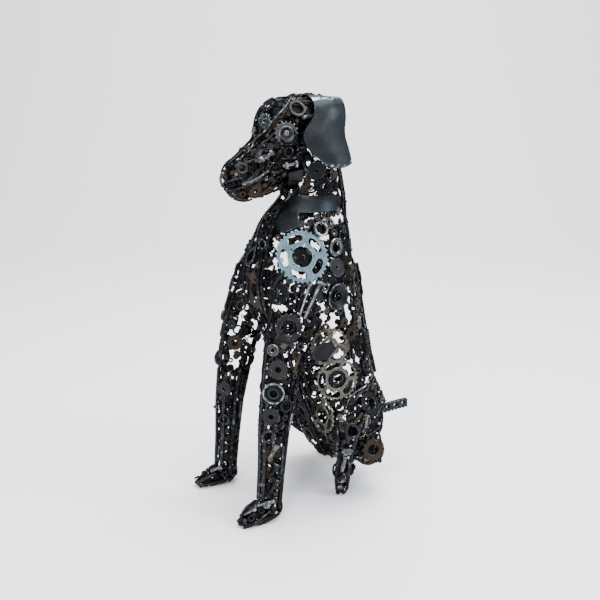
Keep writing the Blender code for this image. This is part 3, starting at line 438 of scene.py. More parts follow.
def bar(path, out, width, height, sides=8, power=2.0):
    """A section carried along a path: a superellipse, width along the form, height out of it."""
    path = np.array(path)
    along = np.gradient(path, axis=0)
    along /= np.linalg.norm(along, axis=1, keepdims=True)
    side = np.cross(along, out)
    side /= np.linalg.norm(side, axis=1, keepdims=True)
    up = np.cross(side, along)
    turn = (np.arange(sides) + 0.5) * 2 * math.pi / sides
    across = np.sign(np.cos(turn)) * abs(np.cos(turn)) ** (2 / power) * width / 2
    rise = np.sign(np.sin(turn)) * abs(np.sin(turn)) ** (2 / power) * height / 2
    points = path[:, None] + across[:, None] * side[:, None] + rise[:, None] * up[:, None]
    # flat bars are bright at their corners; round bars along their outward half, partly rubbed wear and partly a
    # painted glint
    crest = abs(np.cos(turn) * np.sin(turn)) * 2 if power > 2 else np.maximum(np.sin(turn), 0) * 0.8
    return surface(points, crest)


box_low, box_high = (np.array(list(map(float, corner))) for corner in cad_box)
BAR_STEP, BAR_SIDES = 0.008, 8


def bent_bar(points, width, height, lift, power):
    """A bar that follows the form through these points, given in the dog's own place."""
    path = onto_form(smooth_path(np.array(points) + DOG, BAR_STEP), lift)
    path = np.clip(path, box_low + width / 2, box_high - width / 2)
    return bar(path, form_normal(path), width, height, BAR_SIDES, power)


def other_side(route):
    """The same route on the dog's other side."""
    return [(-x, y, z) for x, y, z in route]


def made_mesh(name, shapes, tones, steels):
    """One mesh of many shapes, with its edge and tone values and one finish for each shape."""
    counts = np.array([len(shape.points) for shape in shapes])
    offsets = np.concatenate([[0], np.cumsum(counts)[:-1]])
    quads = np.concatenate([shape.quads + at for shape, at in zip(shapes, offsets)])
    triangles = np.concatenate([shape.triangles + at for shape, at in zip(shapes, offsets)])
    mesh = bpy.data.meshes.new(name)
    mesh.from_pydata(np.concatenate([shape.points for shape in shapes]), [], quads.tolist() + triangles.tolist())
    edge = mesh.attributes.new("edge", "FLOAT", "POINT")
    edge.data.foreach_set("value", np.concatenate([shape.edge for shape in shapes]).astype(np.float32))
    tone = mesh.attributes.new("tone", "FLOAT", "POINT")
    tone.data.foreach_set("value", np.repeat(tones, counts).astype(np.float32))
    used = sorted(set(steels))
    for label in used:
        mesh.materials.append(FINISHES[label])
    slots = np.array([used.index(label) for label in steels])
    faces = np.concatenate([np.repeat(slots, [len(shape.quads) for shape in shapes]),
                            np.repeat(slots, [len(shape.triangles) for shape in shapes])])
    mesh.polygons.foreach_set("material_index", faces.astype(np.int32))
    mesh.polygons.foreach_set("use_smooth", np.ones(len(faces), bool))
    mesh.update()
    mesh.set_sharp_from_angle(angle=math.radians(32))
    return mesh


def put_on(name, shapes, tones, steels, nodes=(), slot=None):
    """Makes a finished piece, which moves with the dog and stands for these solids.

    The tones and the steels are one for all its shapes, or one for each.
    """
    if isinstance(steels, str):
        slot, steels = slot or steels.replace(" ", "_"), [steels] * len(shapes)
    tones = np.broadcast_to(np.array(tones, float), len(shapes))
    piece = bpy.data.objects.new(name, made_mesh(name, shapes, tones, steels))
    bpy.context.scene.collection.objects.link(piece)
    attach(piece, "root")
    if nodes:
        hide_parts(*nodes)


BACK_BAR = [
    (0.034, 0.150, 0.130), (0.042, 0.160, 0.250), (0.046, 0.130, 0.400), (0.046, 0.090, 0.560),
    (0.042, 0.060, 0.680), (0.040, 0.052, 0.780), (0.036, 0.040, 0.880), (0.030, 0.035, 0.950),
]
MUZZLE_BAR = [
    (0.020, -0.140, 0.990), (0.022, -0.172, 0.930), (0.020, -0.205, 0.893), (0.018, -0.240, 0.870),
    (0.012, -0.260, 0.845),
]
# route, width, height, lift, power
OUTLINE_BARS = [
    # bars up the back from the rump to the skull
    (BACK_BAR, 0.009, 0.007, 0.001, 2.0),
    ([(0.064, 0.060, 0.600), (0.060, 0.036, 0.700), (0.058, 0.028, 0.780), (0.054, 0.014, 0.880)],
     0.007, 0.006, 0.001, 2.0),
    (other_side(BACK_BAR), 0.009, 0.007, 0.001, 2.0),
    # throat and breast
    ([(0.022, -0.098, 0.830), (0.022, -0.113, 0.760), (0.026, -0.150, 0.690), (0.032, -0.188, 0.620),
      (0.036, -0.188, 0.540), (0.036, -0.168, 0.460), (0.036, -0.110, 0.330), (0.036, -0.050, 0.200),
      (0.036, 0.000, 0.090)], 0.010, 0.005, 0.001, 4.0),
    ([(-0.020, -0.100, 0.830), (-0.020, -0.115, 0.760), (-0.024, -0.150, 0.690), (-0.030, -0.190, 0.620),
      (-0.034, -0.190, 0.540), (-0.034, -0.170, 0.460), (-0.034, -0.110, 0.330), (-0.036, -0.050, 0.200),
      (-0.036, 0.000, 0.090)], 0.010, 0.005, 0.001, 4.0),
    ([(-0.042, -0.085, 0.830), (-0.044, -0.095, 0.760), (-0.050, -0.135, 0.690), (-0.066, -0.165, 0.620),
      (-0.070, -0.165, 0.540), (-0.060, -0.150, 0.460)], 0.008, 0.006, 0.001, 2.0),
    # rump
    ([(-0.080, 0.060, 0.080), (0.000, 0.070, 0.062), (0.080, 0.060, 0.080)], 0.010, 0.006, 0.000, 4.0),
    # bridge of the muzzle, the lower mouth rod and the brow
    (MUZZLE_BAR, 0.005, 0.005, 0.003, 2.0),
    ([(0.008, -0.262, 0.806), (0.043, -0.226, 0.818), (0.056, -0.182, 0.836)], 0.005, 0.005, 0.003, 2.0),
    (other_side(MUZZLE_BAR), 0.005, 0.005, 0.003, 2.0),
]
LEG_BARS = [
    # front and rear edge of a foreleg, and the loop round its paw
    ([(0.070, -0.175, 0.600), (0.105, -0.200, 0.500), (0.117, -0.222, 0.400), (0.118, -0.236, 0.300),
      (0.119, -0.240, 0.200), (0.119, -0.243, 0.100), (0.120, -0.252, 0.048), (0.122, -0.282, 0.034),
      (0.124, -0.298, 0.014)], 0.010, 0.005, 0.000, 4.0),
    ([(0.110, -0.090, 0.500), (0.116, -0.120, 0.420), (0.117, -0.145, 0.340), (0.118, -0.168, 0.240),
      (0.119, -0.182, 0.130), (0.119, -0.190, 0.040), (0.119, -0.200, 0.014)], 0.011, 0.005, 0.000, 4.0),
    ([(0.150, -0.218, 0.016), (0.150, -0.262, 0.014), (0.136, -0.294, 0.012), (0.125, -0.300, 0.012),
      (0.108, -0.292, 0.012), (0.097, -0.262, 0.014), (0.090, -0.218, 0.016)], 0.007, 0.007, -0.001, 2.0),
]


def up_the_leg(turn_by, low, high):
    """A route up a foreleg on one side of it; the turn is from the outside towards the front."""
    levels = np.arange(low, high, 0.03)
    stations = np.array(FORELEG)[::-1]
    x, y, depth, width = (np.interp(levels, stations[:, 2], stations[:, column]) for column in (0, 1, 3, 4))
    turn_by = math.radians(turn_by)
    return list(zip(x + depth * width * math.cos(turn_by), y - depth * math.sin(turn_by), levels))


# side of the leg in degrees, lowest and highest level, width, height, lift, power
LEG_STRIPS = [
    (-78, 0.012, 0.330, 0.018, 0.005, 0.003, 5.0), (-40, 0.030, 0.300, 0.007, 0.006, -0.001, 2.0),
    (62, 0.050, 0.320, 0.009, 0.005, 0.000, 4.0), (128, 0.050, 0.330, 0.009, 0.005, 0.000, 4.0),
    (178, 0.030, 0.360, 0.010, 0.005, 0.000, 4.0), (-130, 0.020, 0.340, 0.012, 0.004, 0.001, 4.0),
    (-78, 0.340, 0.520, 0.009, 0.006, 0.000, 2.0), (100, 0.330, 0.520, 0.008, 0.006, 0.001, 2.0),
]
# left side only: the front of the thigh, the belly and the near hind foot
SIDE_BARS = [
    ([(0.062, -0.130, 0.395), (0.056, -0.115, 0.310), (0.048, -0.080, 0.240), (0.040, -0.040, 0.180)],
     0.010, 0.006, 0.002, 4.0),
    ([(0.076, -0.120, 0.395), (0.069, -0.105, 0.310), (0.059, -0.070, 0.240), (0.050, -0.030, 0.180)],
     0.007, 0.006, 0.002, 2.0),
    ([(0.089, -0.110, 0.395), (0.082, -0.095, 0.310), (0.071, -0.060, 0.240), (0.061, -0.020, 0.180)],
     0.009, 0.006, 0.002, 4.0),
    ([(0.135, -0.046, 0.235), (0.160, -0.044, 0.190), (0.150, -0.040, 0.150), (0.120, -0.018, 0.085),
      (0.110, -0.010, 0.016)], 0.011, 0.006, 0.001, 4.0),
    ([(0.160, 0.060, 0.250), (0.175, 0.010, 0.200), (0.172, -0.005, 0.150), (0.140, 0.012, 0.085),
      (0.118, 0.014, 0.016)], 0.010, 0.006, 0.001, 4.0),
    ([(0.150, 0.120, 0.230), (0.150, 0.125, 0.160), (0.140, 0.110, 0.090)], 0.012, 0.006, 0.000, 4.0),
    ([(0.138, -0.128, 0.592), (0.145, -0.140, 0.560), (0.148, -0.150, 0.530)], 0.009, 0.005, 0.002, 4.0),
]
bars = [bent_bar(*each) for each in OUTLINE_BARS + SIDE_BARS]
strips = [(up_the_leg(side_of_leg, low, high), *section) for side_of_leg, low, high, *section in LEG_STRIPS]
for route, *section in strips + LEG_BARS:
    bars += [bent_bar(route, *section), bent_bar(other_side(route), *section)]
BAR_SEED, BAR_TONES = 3, (0.05, 0.55)
put_on("outline_bars", bars, np.random.default_rng(BAR_SEED).uniform(*BAR_TONES, len(bars)), "dark steel")

# Sprockets and gears
# Chain sprockets, gearbox wheels and their cut parts, stamped or hobbed from steel plate. They
# lie flat on the skin of scrap and are welded at their rims.


def corners_of(name):
    """The corners of a solid."""
    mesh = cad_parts[name].data
    points = np.empty(len(mesh.vertices) * 3, np.float32)
    mesh.vertices.foreach_get("co", points)
    return points.reshape(-1, 3)


def seat(name):
    """Where a solid lies: its middle, its side, up and facing directions, and its half sizes."""
    points = corners_of(name).astype(float)
    facing = np.linalg.svd(points - points.mean(axis=0), full_matrices=False)[2][2]
    facing *= np.sign(facing @ form_normal(points.mean(axis=0))[0])
    axes = facing_axes(facing)
    local = points @ axes.T
    low, high = local.min(axis=0), local.max(axis=0)
    return (low + high) / 2 @ axes, axes, (high - low) / 2


def facing_axes(facing, spin=0.0, along=(0, 0, 1)):
    """Side, up and facing as rows; spin turns the first two about the third."""
    facing = facing / np.linalg.norm(facing)
    up = np.array(along, float) - np.dot(along, facing) * facing
    if np.linalg.norm(up) < 0.05:
        up = np.array((0, 1.0, 0)) - facing[1] * facing
    up /= np.linalg.norm(up)
    side = np.cross(up, facing)
    cos, sin = math.cos(spin), math.sin(spin)
    return np.stack([side * cos + up * sin, up * cos - side * sin, facing])


def placed(shapes, middle, axes):
    """Shapes made about the origin, facing +Z, set down at this middle with these directions."""
    return [shape._replace(points=shape.points @ axes + middle) for shape in shapes]


def circle_of(count):
    """Even steps round a circle."""
    return np.arange(count) * 2 * math.pi / count


def toothed(radius, teeth, tooth, count, sharp=1.6):
    """Radius round a gear: a cosine with its crests and troughs cut flat."""
    wave = np.clip(sharp * np.cos(circle_of(count) * teeth), -1, 1)
    return radius - tooth * (1 - wave) / 2


def pierced_plate(hole, rim, thick, openings=(), bevel=0.0006, margin=0.0022):
    """Rings of plate between a round hole and the rim, parted by rows of openings.

    An opening is (radius, half height, count, share, phase, power): along the turn its height
    follows a superellipse and falls to nothing between two openings, where the rings meet.
    """
    turn = circle_of(len(rim))
    inner, inner_open = np.full(len(rim), hole), np.ones(len(rim))
    shapes = []
    for radius, half, count, share, phase, power in tuple(openings) + ((0, 0, 0, 1, 0, 2),):
        if count:
            at = abs(((turn * count / (2 * math.pi) + phase) % 1) * 2 - 1) / share
            height = half * np.maximum(1 - np.minimum(at, 1) ** power, 0) ** (1 / power)
            outer, outer_open = radius - height, np.minimum(height / bevel, 1)
        else:
            outer, outer_open = rim, np.ones(len(rim))
        room = np.minimum(margin, 0.45 * (outer - inner))
        low, high = np.minimum(bevel * inner_open, room / 2), np.minimum(bevel * outer_open, room / 2)
        none, top = np.zeros(len(rim)), np.full(len(rim), thick / 2)
        rows = [
            (inner + room, top, none), (outer - room, top, none), (outer - high, top, outer_open),
            (outer, top - high, outer_open), (outer, high - top, 0.6 * outer_open),
            (outer - high, -top, outer_open), (outer - room, -top, none),
            (inner + room, -top, none), (inner + low, -top, inner_open), (inner, low - top, 0.6 * inner_open),
            (inner, top - low, inner_open), (inner + low, top, inner_open),
        ]
        points = np.stack([np.stack([r * np.cos(turn), r * np.sin(turn), h], axis=-1) for r, h, _ in rows])
        shapes.append(surface(points, np.stack([edge for _, _, edge in rows]), ring=True))
        if count:
            inner, inner_open = radius + height, outer_open
    return shapes


def turned(profile, sides, ring=False):
    """A profile of (radius, height, edge) carried round the axis."""
    radius, height, edge = np.array(profile, float).T
    turn = circle_of(sides)
    points = np.stack([radius[:, None] * np.cos(turn), radius[:, None] * np.sin(turn),
                       np.broadcast_to(height[:, None], (len(radius), sides))], axis=-1)
    return surface(points, edge[:, None], ring)


# node: steel, teeth, tooth depth, hole, tooth sharpness, openings, tone
WHEELS = {
    "shoulder_sprocket": ("blue steel", 34, 0.0050, 0.0255, 1.2,
                          [(0.0300, 0.0021, 5, 0.11, 0.5, 2.0), (0.0450, 0.0092, 5, 0.72, 0.0, 3.2)], 0.75),
    "upper_flank_sprocket": ("tan steel", 24, 0.0040, 0.0160, 1.3,
                             [(0.0200, 0.0014, 4, 0.12, 0.5, 2.0), (0.0325, 0.0092, 4, 0.80, 0.0, 3.4)], 0.9),
    "middle_flank_sprocket": ("tan steel", 28, 0.0040, 0.0235, 1.3,
                              [(0.0272, 0.0013, 5, 0.12, 0.5, 2.0), (0.0395, 0.0088, 5, 0.82, 0.0, 3.4)], 0.55),
    "right_shoulder_sprocket": ("dark steel", 22, 0.0050, 0.0180, 1.2,
                                [(0.0235, 0.0015, 4, 0.12, 0.5, 2.0), (0.0345, 0.0060, 4, 0.66, 0.0, 3.0)], 0.7),
    "right_flank_sprocket": ("rusty steel", 18, 0.0040, 0.0200, 1.2,
                             [(0.0255, 0.0015, 4, 0.12, 0.5, 2.0), (0.0370, 0.0065, 4, 0.66, 0.0, 3.0)], 0.5),
    "chest_sprocket": ("rusty steel", 18, 0.0060, 0.0190, 1.2, [(0.0295, 0.0040, 6, 0.36, 0.2, 2.2)], 0.55),
    "flank_gear": ("rusty steel", 14, 0.0032, 0.0075, 1.8, [], 0.2),
    "breast_gear": ("dark steel", 16, 0.0030, 0.0055, 1.8, [(0.0115, 0.0014, 4, 0.20, 0.0, 2.0)], 0.3),
    "elbow_gear": ("dark steel", 18, 0.0030, 0.0190, 1.6, [(0.0245, 0.0012, 6, 0.12, 0.0, 2.0)], 0.7),
    "forearm_gear": ("dark steel", 18, 0.0032, 0.0075, 1.8, [(0.0140, 0.0012, 3, 0.10, 0.0, 2.0)], 0.9),
    "shin_gear": ("dark steel", 24, 0.0016, 0.0060, 2.0, [], 0.5),
    "haunch_gear": ("dark steel", 22, 0.0028, 0.0170, 1.6, [(0.0222, 0.0011, 5, 0.12, 0.0, 2.0)], 0.4),
    "neck_gear": ("dark steel", 16, 0.0032, 0.0085, 1.6, [], 0.2),
    "brow_gear": ("ear steel", 13, 0.0034, 0.0045, 1.6, [(0.0090, 0.0012, 4, 0.2, 0.0, 2.0)], 1.0),
    "jaw_gear": ("rusty steel", 15, 0.0030, 0.0062, 1.7, [], 0.8),
    "right_elbow_gear": ("dark steel", 14, 0.0030, 0.0120, 1.6, [(0.0185, 0.0013, 4, 0.14, 0.0, 2.0)], 0.6),
    "right_haunch_gear": ("dark steel", 18, 0.0030, 0.0170, 1.6, [(0.0235, 0.0012, 6, 0.12, 0.0, 2.0)], 0.5),
    "back_gear": ("dark steel", 18, 0.0040, 0.0140, 1.6, [(0.0225, 0.0032, 4, 0.40, 0.0, 2.4)], 0.5),
    "loin_gear": ("rusty steel", 18, 0.0050, 0.0170, 1.6, [(0.0255, 0.0034, 5, 0.40, 0.0, 2.4)], 0.6),
}
for name, (finish, teeth, tooth, hole, sharp, openings, tone) in WHEELS.items():
    middle, axes, half = seat(name)
    rim = toothed(half[0], teeth, tooth, teeth * 8, sharp)
    plates = placed(pierced_plate(hole, rim, 2 * half[2], openings), middle, axes)
    put_on("welded_" + name, plates, tone, finish, [name])

# wheel in front: radius, points, their depth, hole, how far behind
WHEELS_BEHIND = {
    "shoulder_sprocket": (0.0240, 5, 0.0120, 0.0050, 0.009),
    "elbow_gear": (0.0205, 9, 0.0040, 0.0085, 0.008),
    "middle_flank_sprocket": (0.0225, 14, 0.0025, 0.0120, 0.007),
}
WHEEL_BEHIND_THICKNESS, WHEEL_BEHIND_BESIDE = 0.004, 0.004
for name, (radius, teeth, tooth, hole, behind) in WHEELS_BEHIND.items():
    middle, axes, half = seat(name)
    parts = pierced_plate(hole, toothed(radius, teeth, tooth, teeth * 14, 1.3), WHEEL_BEHIND_THICKNESS)
    parts = placed(parts, middle - behind * axes[2] + WHEEL_BEHIND_BESIDE * axes[0], axes)
    put_on("welded_wheel_behind_" + name, parts, 0.2, "dark steel")

# Rings, bearings and hubs
# Bearing races, spacer rings, cut tube and turned hubs. The bearings keep their balls and
# shields; the rings are bright where their faces were ground.


def round_ring(hole, radius, thick, sides, edge=1.0):
    """A ring of nearly square section with its corners taken off, bright at the front corners."""
    low, high = -thick / 2, thick / 2
    cut = min(0.0012, 0.2 * (radius - hole))
    return turned([
        (hole + cut, high, edge), (hole + 2 * cut, high, 0.2), (radius - 2 * cut, high, 0.2),
        (radius - cut, high, edge), (radius, high - cut, edge), (radius, low + cut, 0.1),
        (radius - cut, low, 0.4), (hole + cut, low, 0.4), (hole, low + cut, 0.1), (hole, high - cut, 0.7),
    ], sides, ring=True)


def ball(radius, middle, rows=6, columns=10):
    """A sphere by latitude and longitude."""
    tilt = (np.arange(rows) + 0.5) * math.pi / rows
    sphere = turned(np.stack([radius * np.sin(tilt), radius * np.cos(tilt), np.full(rows, 0.5)], axis=-1), columns)
    sphere = sphere._replace(points=sphere.points + middle)
    sphere.points[-2:, 2] = (middle[2] + radius, middle[2] - radius)
    return sphere


def bearing(hole, radius, thick, balls):
    """Outer and inner race with a ring of balls between them, on a thin cage."""
    wall = 0.24 * (radius - hole)
    track = (radius + hole) / 2
    parts = [round_ring(radius - wall, radius, thick, 32), round_ring(hole, hole + wall, thick, 24),
             round_ring(hole + wall, radius - wall, thick * 0.35, 24, 0.2)]
    for turn in circle_of(balls):
        parts.append(ball(wall, np.array((track * math.cos(turn), track * math.sin(turn), thick * 0.12)), 5, 8))
    return parts


def dished_hub(hole, radius, thick):
    """A pressed hub: a rim, a slope down to a flat, and a raised collar round its hole."""
    high, low = thick / 2, -thick / 2
    return [turned([
        (hole, high * 0.7, 0.4), (hole + 0.0035, high * 0.7, 0.3), (hole + 0.0040, low * 0.2, 0.1),
        (0.62 * radius, low * 0.2, 0.1), (0.80 * radius, high * 0.6, 0.3), (0.88 * radius, high, 0.9),
        (0.98 * radius, high, 0.9), (radius, high * 0.8, 1.0), (radius, low, 0.2), (hole, low, 0.2),
    ], 40, ring=True)]


def flat_disc(hole, radius, thick):
    """A thick washer, turned on its face: fine rings and a small hole."""
    high, low = thick / 2, -thick / 2
    return [turned([
        (hole, high - 0.001, 0.8), (hole + 0.001, high, 0.8), (0.45 * radius, high, 0.1),
        (0.47 * radius, high - 0.0006, 0.3), (0.86 * radius, high - 0.0006, 0.1), (0.90 * radius, high, 0.5),
        (radius - 0.001, high, 0.9), (radius, high - 0.001, 1.0), (radius, low, 0.2), (hole, low, 0.2),
    ], 36, ring=True)]


def shade_backing(hole, level):
    """A near-black disc that closes a hole from behind: painted shade in the hole."""
    return turned([(hole, level, 0), (0.002, level, 0)], 20)


# node: steel, how it is made, hole, tone
RINGS = {
    "shoulder_hub": ("dark steel", dished_hub, 0.0110, 0.45),
    "shoulder_washer_disc": ("dark steel", flat_disc, 0.0035, 0.60),
    "neck_disc": ("dark steel", flat_disc, 0.0030, 0.40),
    "knee_hub": ("ear steel", dished_hub, 0.0095, 1.00),
    "right_knee_hub": ("dark steel", dished_hub, 0.0095, 0.50),
}
for name, (finish, make, hole, tone) in RINGS.items():
    middle, axes, half = seat(name)
    parts, tones, finishes = make(hole, half[0], 2 * half[2]), [tone], [finish]
    # the knee hub's hole is closed behind by a near-black disc, painted shade
    if name == "knee_hub":
        parts.append(shade_backing(hole + 0.001, -0.4 * half[2]))
        tones, finishes = [tone, 0.0], [finish, "dark steel"]
    parts = placed(parts, middle, axes)
    put_on("welded_" + name, parts, tones, finishes, [name], finish.replace(" ", "_"))

# node: steel, hole, tone
OPEN_RINGS = {
    "shoulder_chrome_ring": ("bright steel", 0.0135, 0.70),
    "shoulder_bearing": ("bright steel", 0.0135, 0.35),
    "chest_ring": ("dark steel", 0.0175, 0.50),
    "haunch_ring": ("dark steel", 0.0130, 0.60),
    "temple_ring": ("dark steel", 0.0145, 0.95),
}
for name, (finish, hole, tone) in OPEN_RINGS.items():
    middle, axes, half = seat(name)
    parts, tones, finishes = [round_ring(hole, half[0], 2 * half[2], 40)], [tone], [finish]
    # the other rings' holes are closed behind by near-black discs, painted shade
    if name != "chest_ring":
        parts.append(shade_backing(hole, -half[2]))
        tones, finishes = [tone, 0.0], [finish, "dark steel"]
    if name == "shoulder_bearing":
        parts.append(round_ring(hole - 0.0015, hole, half[2], 40, 0.6))
        tones, finishes = [*tones, tone], [*finishes, finish]
    parts = placed(parts, middle, axes)
    put_on("welded_" + name, parts, tones, finishes, [name], finish.replace(" ", "_"))

HOCK_TEETH, HOCK_TOOTH, HOCK_HOLE, HOCK_SHARP, HOCK_BEVEL, HOCK_MARGIN = 12, 0.0045, 0.0140, 2.4, 0.0012, 0.003
middle, axes, half = seat("hock_gear")
rim = toothed(half[0], HOCK_TEETH, HOCK_TOOTH, HOCK_TEETH * 10, HOCK_SHARP)
parts = pierced_plate(HOCK_HOLE, rim, 2 * half[2], bevel=HOCK_BEVEL, margin=HOCK_MARGIN)
parts = placed(parts, middle, axes)
put_on("welded_hock_gear", parts, 0.4, "rusty steel", ["hock_gear"])

# Eyes
# Each eye is a bright ball in a bearing race, on a small sprocket that stands for the lids,
# with a second race half hidden behind it.
EYE_TEETH, EYE_TOOTH, EYE_GEAR_HOLE, EYE_BALL, EYE_BALL_RISE = 16, 0.0050, 0.006, 0.0086, 0.0015
RACE_HOLE, RACE_THICKNESS = 0.0118, 0.0100
UNDER_HOLE, UNDER_RADIUS, UNDER_THICKNESS = 0.0150, 0.0215, 0.0050
UNDER_BESIDE, UNDER_BELOW = 0.0045, (-0.0065, -0.0035)
for side in ("left", "right"):
    middle, axes, half = seat(side + "_eye_gear")
    rim = toothed(half[0], EYE_TEETH, EYE_TOOTH, EYE_TEETH * 10, 1.0)
    parts = placed(pierced_plate(EYE_GEAR_HOLE, rim, 2 * half[2]), middle, axes)
    put_on("welded_" + side + "_eye_gear", parts, 0.45, "bright steel", [side + "_eye_gear"], "dark_steel")
    middle, axes, half = seat(side + "_eye")
    race = round_ring(RACE_HOLE, half[0], RACE_THICKNESS, 40)
    under = round_ring(UNDER_HOLE, UNDER_RADIUS, UNDER_THICKNESS, 40)
    beside = -UNDER_BESIDE if side == "right" else UNDER_BESIDE
    under = under._replace(points=under.points + (beside, *UNDER_BELOW))
    parts = placed([race, under, ball(EYE_BALL, np.array((0, 0, EYE_BALL_RISE)), 10, 20)], middle, axes)
    put_on("welded_" + side + "_eye", parts, (0.2, 0.1, 0.5), ["bright steel", "dark steel", "bright steel"],
           [side + "_eye"], "bright_steel")

# Bolts, rods and the spring
# Long threaded bolts, plain round rod and one coil spring, tacked down along the cheek, the
# upper arm, the haunch and the back edge of the flank.


def node_points(name):
    """The corners of a solid, each once."""
    return np.unique(corners_of(name).round(6), axis=0).astype(float)


def hexagon(radius, low, high, hole=0.0):
    """A six-sided head or nut with its corners taken off, solid or with a hole."""
    flat = radius * 0.90
    if hole:
        return turned([(hole, low, 0.3), (hole, high, 0.9), (flat, high, 0.5), (radius, high - 0.1 * radius, 1.0),
                       (radius, low, 0.3)], 6, ring=True)
    return turned([(radius, low, 0.3), (radius, high - 0.12 * radius, 1.0), (flat, high, 0.6)], 6)


def threaded(radius, low, high, pitch=0.0017, sides=12):
    """A shank whose radius swells and shrinks once a pitch, with a cut end."""
    count = max(2, round((high - low) / pitch))
    heights = np.linspace(low, high, 2 * count + 1)
    crest = np.arange(2 * count + 1) % 2
    return turned(np.stack([radius * (0.86 + 0.14 * crest), heights, 0.2 + 0.8 * crest], axis=-1), sides)


def bolt(radius, head, length, nut=0):
    """Hexagon head, plain neck, threaded shank; the nut, where there is one, sits near its end."""
    end = length / 2
    neck = end - 1.5 * radius
    parts = [hexagon(head, neck, end),
             turned([(radius, neck - 0.15 * length, 0.5), (radius, neck + 0.001, 0.5)], 12),
             threaded(radius, -end, neck - 0.15 * length)]
    if nut:
        parts.append(hexagon(head, -end + 0.15 * length, -end + 0.15 * length + 1.7 * radius, radius * 0.95))
    return parts


# node: whether a nut is on it
BOLTS = {"cheek_bolt": 1, "jaw_hinge_bolt": 1, "haunch_bolt": 0, "long_upper_arm_bolt": 0}
SHANK_RADIUS, END_REACH, FLAT_FACING = 0.0045, 0.004, (0.3, 0.9, 0.2)
for name, nut in BOLTS.items():
    points = node_points(name)
    along = np.linalg.svd(points - points.mean(axis=0), full_matrices=False)[2][0]
    if name != "long_upper_arm_bolt" and along[2] < 0:
        along = -along
    low, high = (points @ along).min(), (points @ along).max()
    offset = points - points.mean(axis=0)
    spread = np.linalg.norm(offset - (offset @ along)[:, None] * along, axis=1)
    top_wide = spread[(points @ along) > high - END_REACH].mean()
    if top_wide <= spread[(points @ along) < low + END_REACH].mean():
        along = -along
    middle = points.mean(axis=0)
    middle = middle + ((points @ along).max() + (points @ along).min() - 2 * middle @ along) / 2 * along
    parts = placed(bolt(SHANK_RADIUS, spread.max(), high - low, nut), middle, facing_axes(along, 0.0, FLAT_FACING))
    put_on("welded_" + name, parts, 0.5, "bright steel", [name])

DROP_FROM, DROP_STEPS, DROP_SHARE, DROP_MOST = 0.6, 60, 0.85, 0.1


def let_down(points, way, clearance=0.0):
    """Brings points in against this way until they meet the form, or lie this clear of it."""
    for _ in range(DROP_STEPS):
        points = points - DROP_SHARE * np.minimum(form_distance(points) - clearance, DROP_MOST)[:, None] * way
    return points


def dropped(side, pairs):
    """Points of the form met by straight lines let down on it from that side of the dog."""
    across, up = np.array(pairs, float).T
    none = np.zeros_like(across)
    columns, way = {"left": ((none, across, up), (1, 0, 0)), "back": ((across, none, up), (0, 1, 0)),
                    "top": ((across, up, none + DROP_FROM), (0, 0, 1))}[side]
    way = np.array(way, float)
    return let_down(np.stack(columns, axis=-1) + DOG + DROP_FROM * way, way)


ROD_STEP, ROD_REACH = 0.006, 0.022
# side, diameter, steel, route across and up, as seen from that side
RODS = {
    "left_ridge_rod": ("left", 0.0044, "bright steel",
                       [(-0.112, 1.000), (-0.150, 0.965), (-0.172, 0.925), (-0.205, 0.893), (-0.232, 0.872)]),
    "left_lip_rod": ("left", 0.0060, "bright steel", [(-0.236, 0.822), (-0.205, 0.834), (-0.176, 0.850)]),
    "haunch_rod": ("left", 0.0050, "bright steel",
                   [(0.094, 0.312), (0.055, 0.300), (0.025, 0.285), (0.002, 0.262), (-0.014, 0.236)]),
    "left_back_rod": ("back", 0.0090, "dark steel",
                      [(0.050, 0.600), (0.056, 0.500), (0.058, 0.400), (0.058, 0.300)]),
    "right_back_rod": ("back", 0.0090, "dark steel",
                       [(-0.050, 0.600), (-0.056, 0.500), (-0.058, 0.400), (-0.058, 0.300)]),
}
for name, (side, wide, finish, route) in RODS.items():
    path = dropped(side, smooth_path(route, ROD_STEP))
    out = form_normal(path)
    points = node_points(name)
    near = np.linalg.norm(path[:, None] - points, axis=-1) < ROD_REACH
    heights = form_distance(points)
    lifts = np.array([heights[row].mean() if row.any() else heights.mean() for row in near])
    rod = bar(path + lifts[:, None] * out, out, wide, wide, 10)
    put_on("welded_" + name, [rod], 0.1, finish, [name])

SPRING_ENDS, SPRING_RADIUS, SPRING_WIRE = ((0.060, 0.440), (0.070, 0.376)), 0.0095, 0.0034
SPRING_TURNS, SPRING_TURN_POINTS = 9, 14
top, bottom = dropped("left", SPRING_ENDS)
middle = (top + bottom) / 2
lift = (node_points("flank_spring").mean(axis=0) - middle) @ form_normal(middle)[0]
axes = facing_axes(form_normal(middle)[0], 0.0, top - bottom)
share = np.linspace(0, 1, SPRING_TURNS * SPRING_TURN_POINTS + 1)[:, None]
angle = share * SPRING_TURNS * 2 * math.pi
path = middle + lift * axes[2] + (0.5 - share) * np.linalg.norm(top - bottom) * axes[1] \
    + SPRING_RADIUS * (np.cos(angle) * axes[0] + np.sin(angle) * axes[2])
put_on("welded_flank_spring", [bar(path, axes[1], SPRING_WIRE, SPRING_WIRE)], 0.5, "dark steel", ["flank_spring"])

# Ears, collar and tail
# Bent sheet steel for the two ears, with a painted sheen at the top bend and a painted highlight on the
# curled lower lip; a strip of plate round the neck; and a length of toothed rack for the tail.


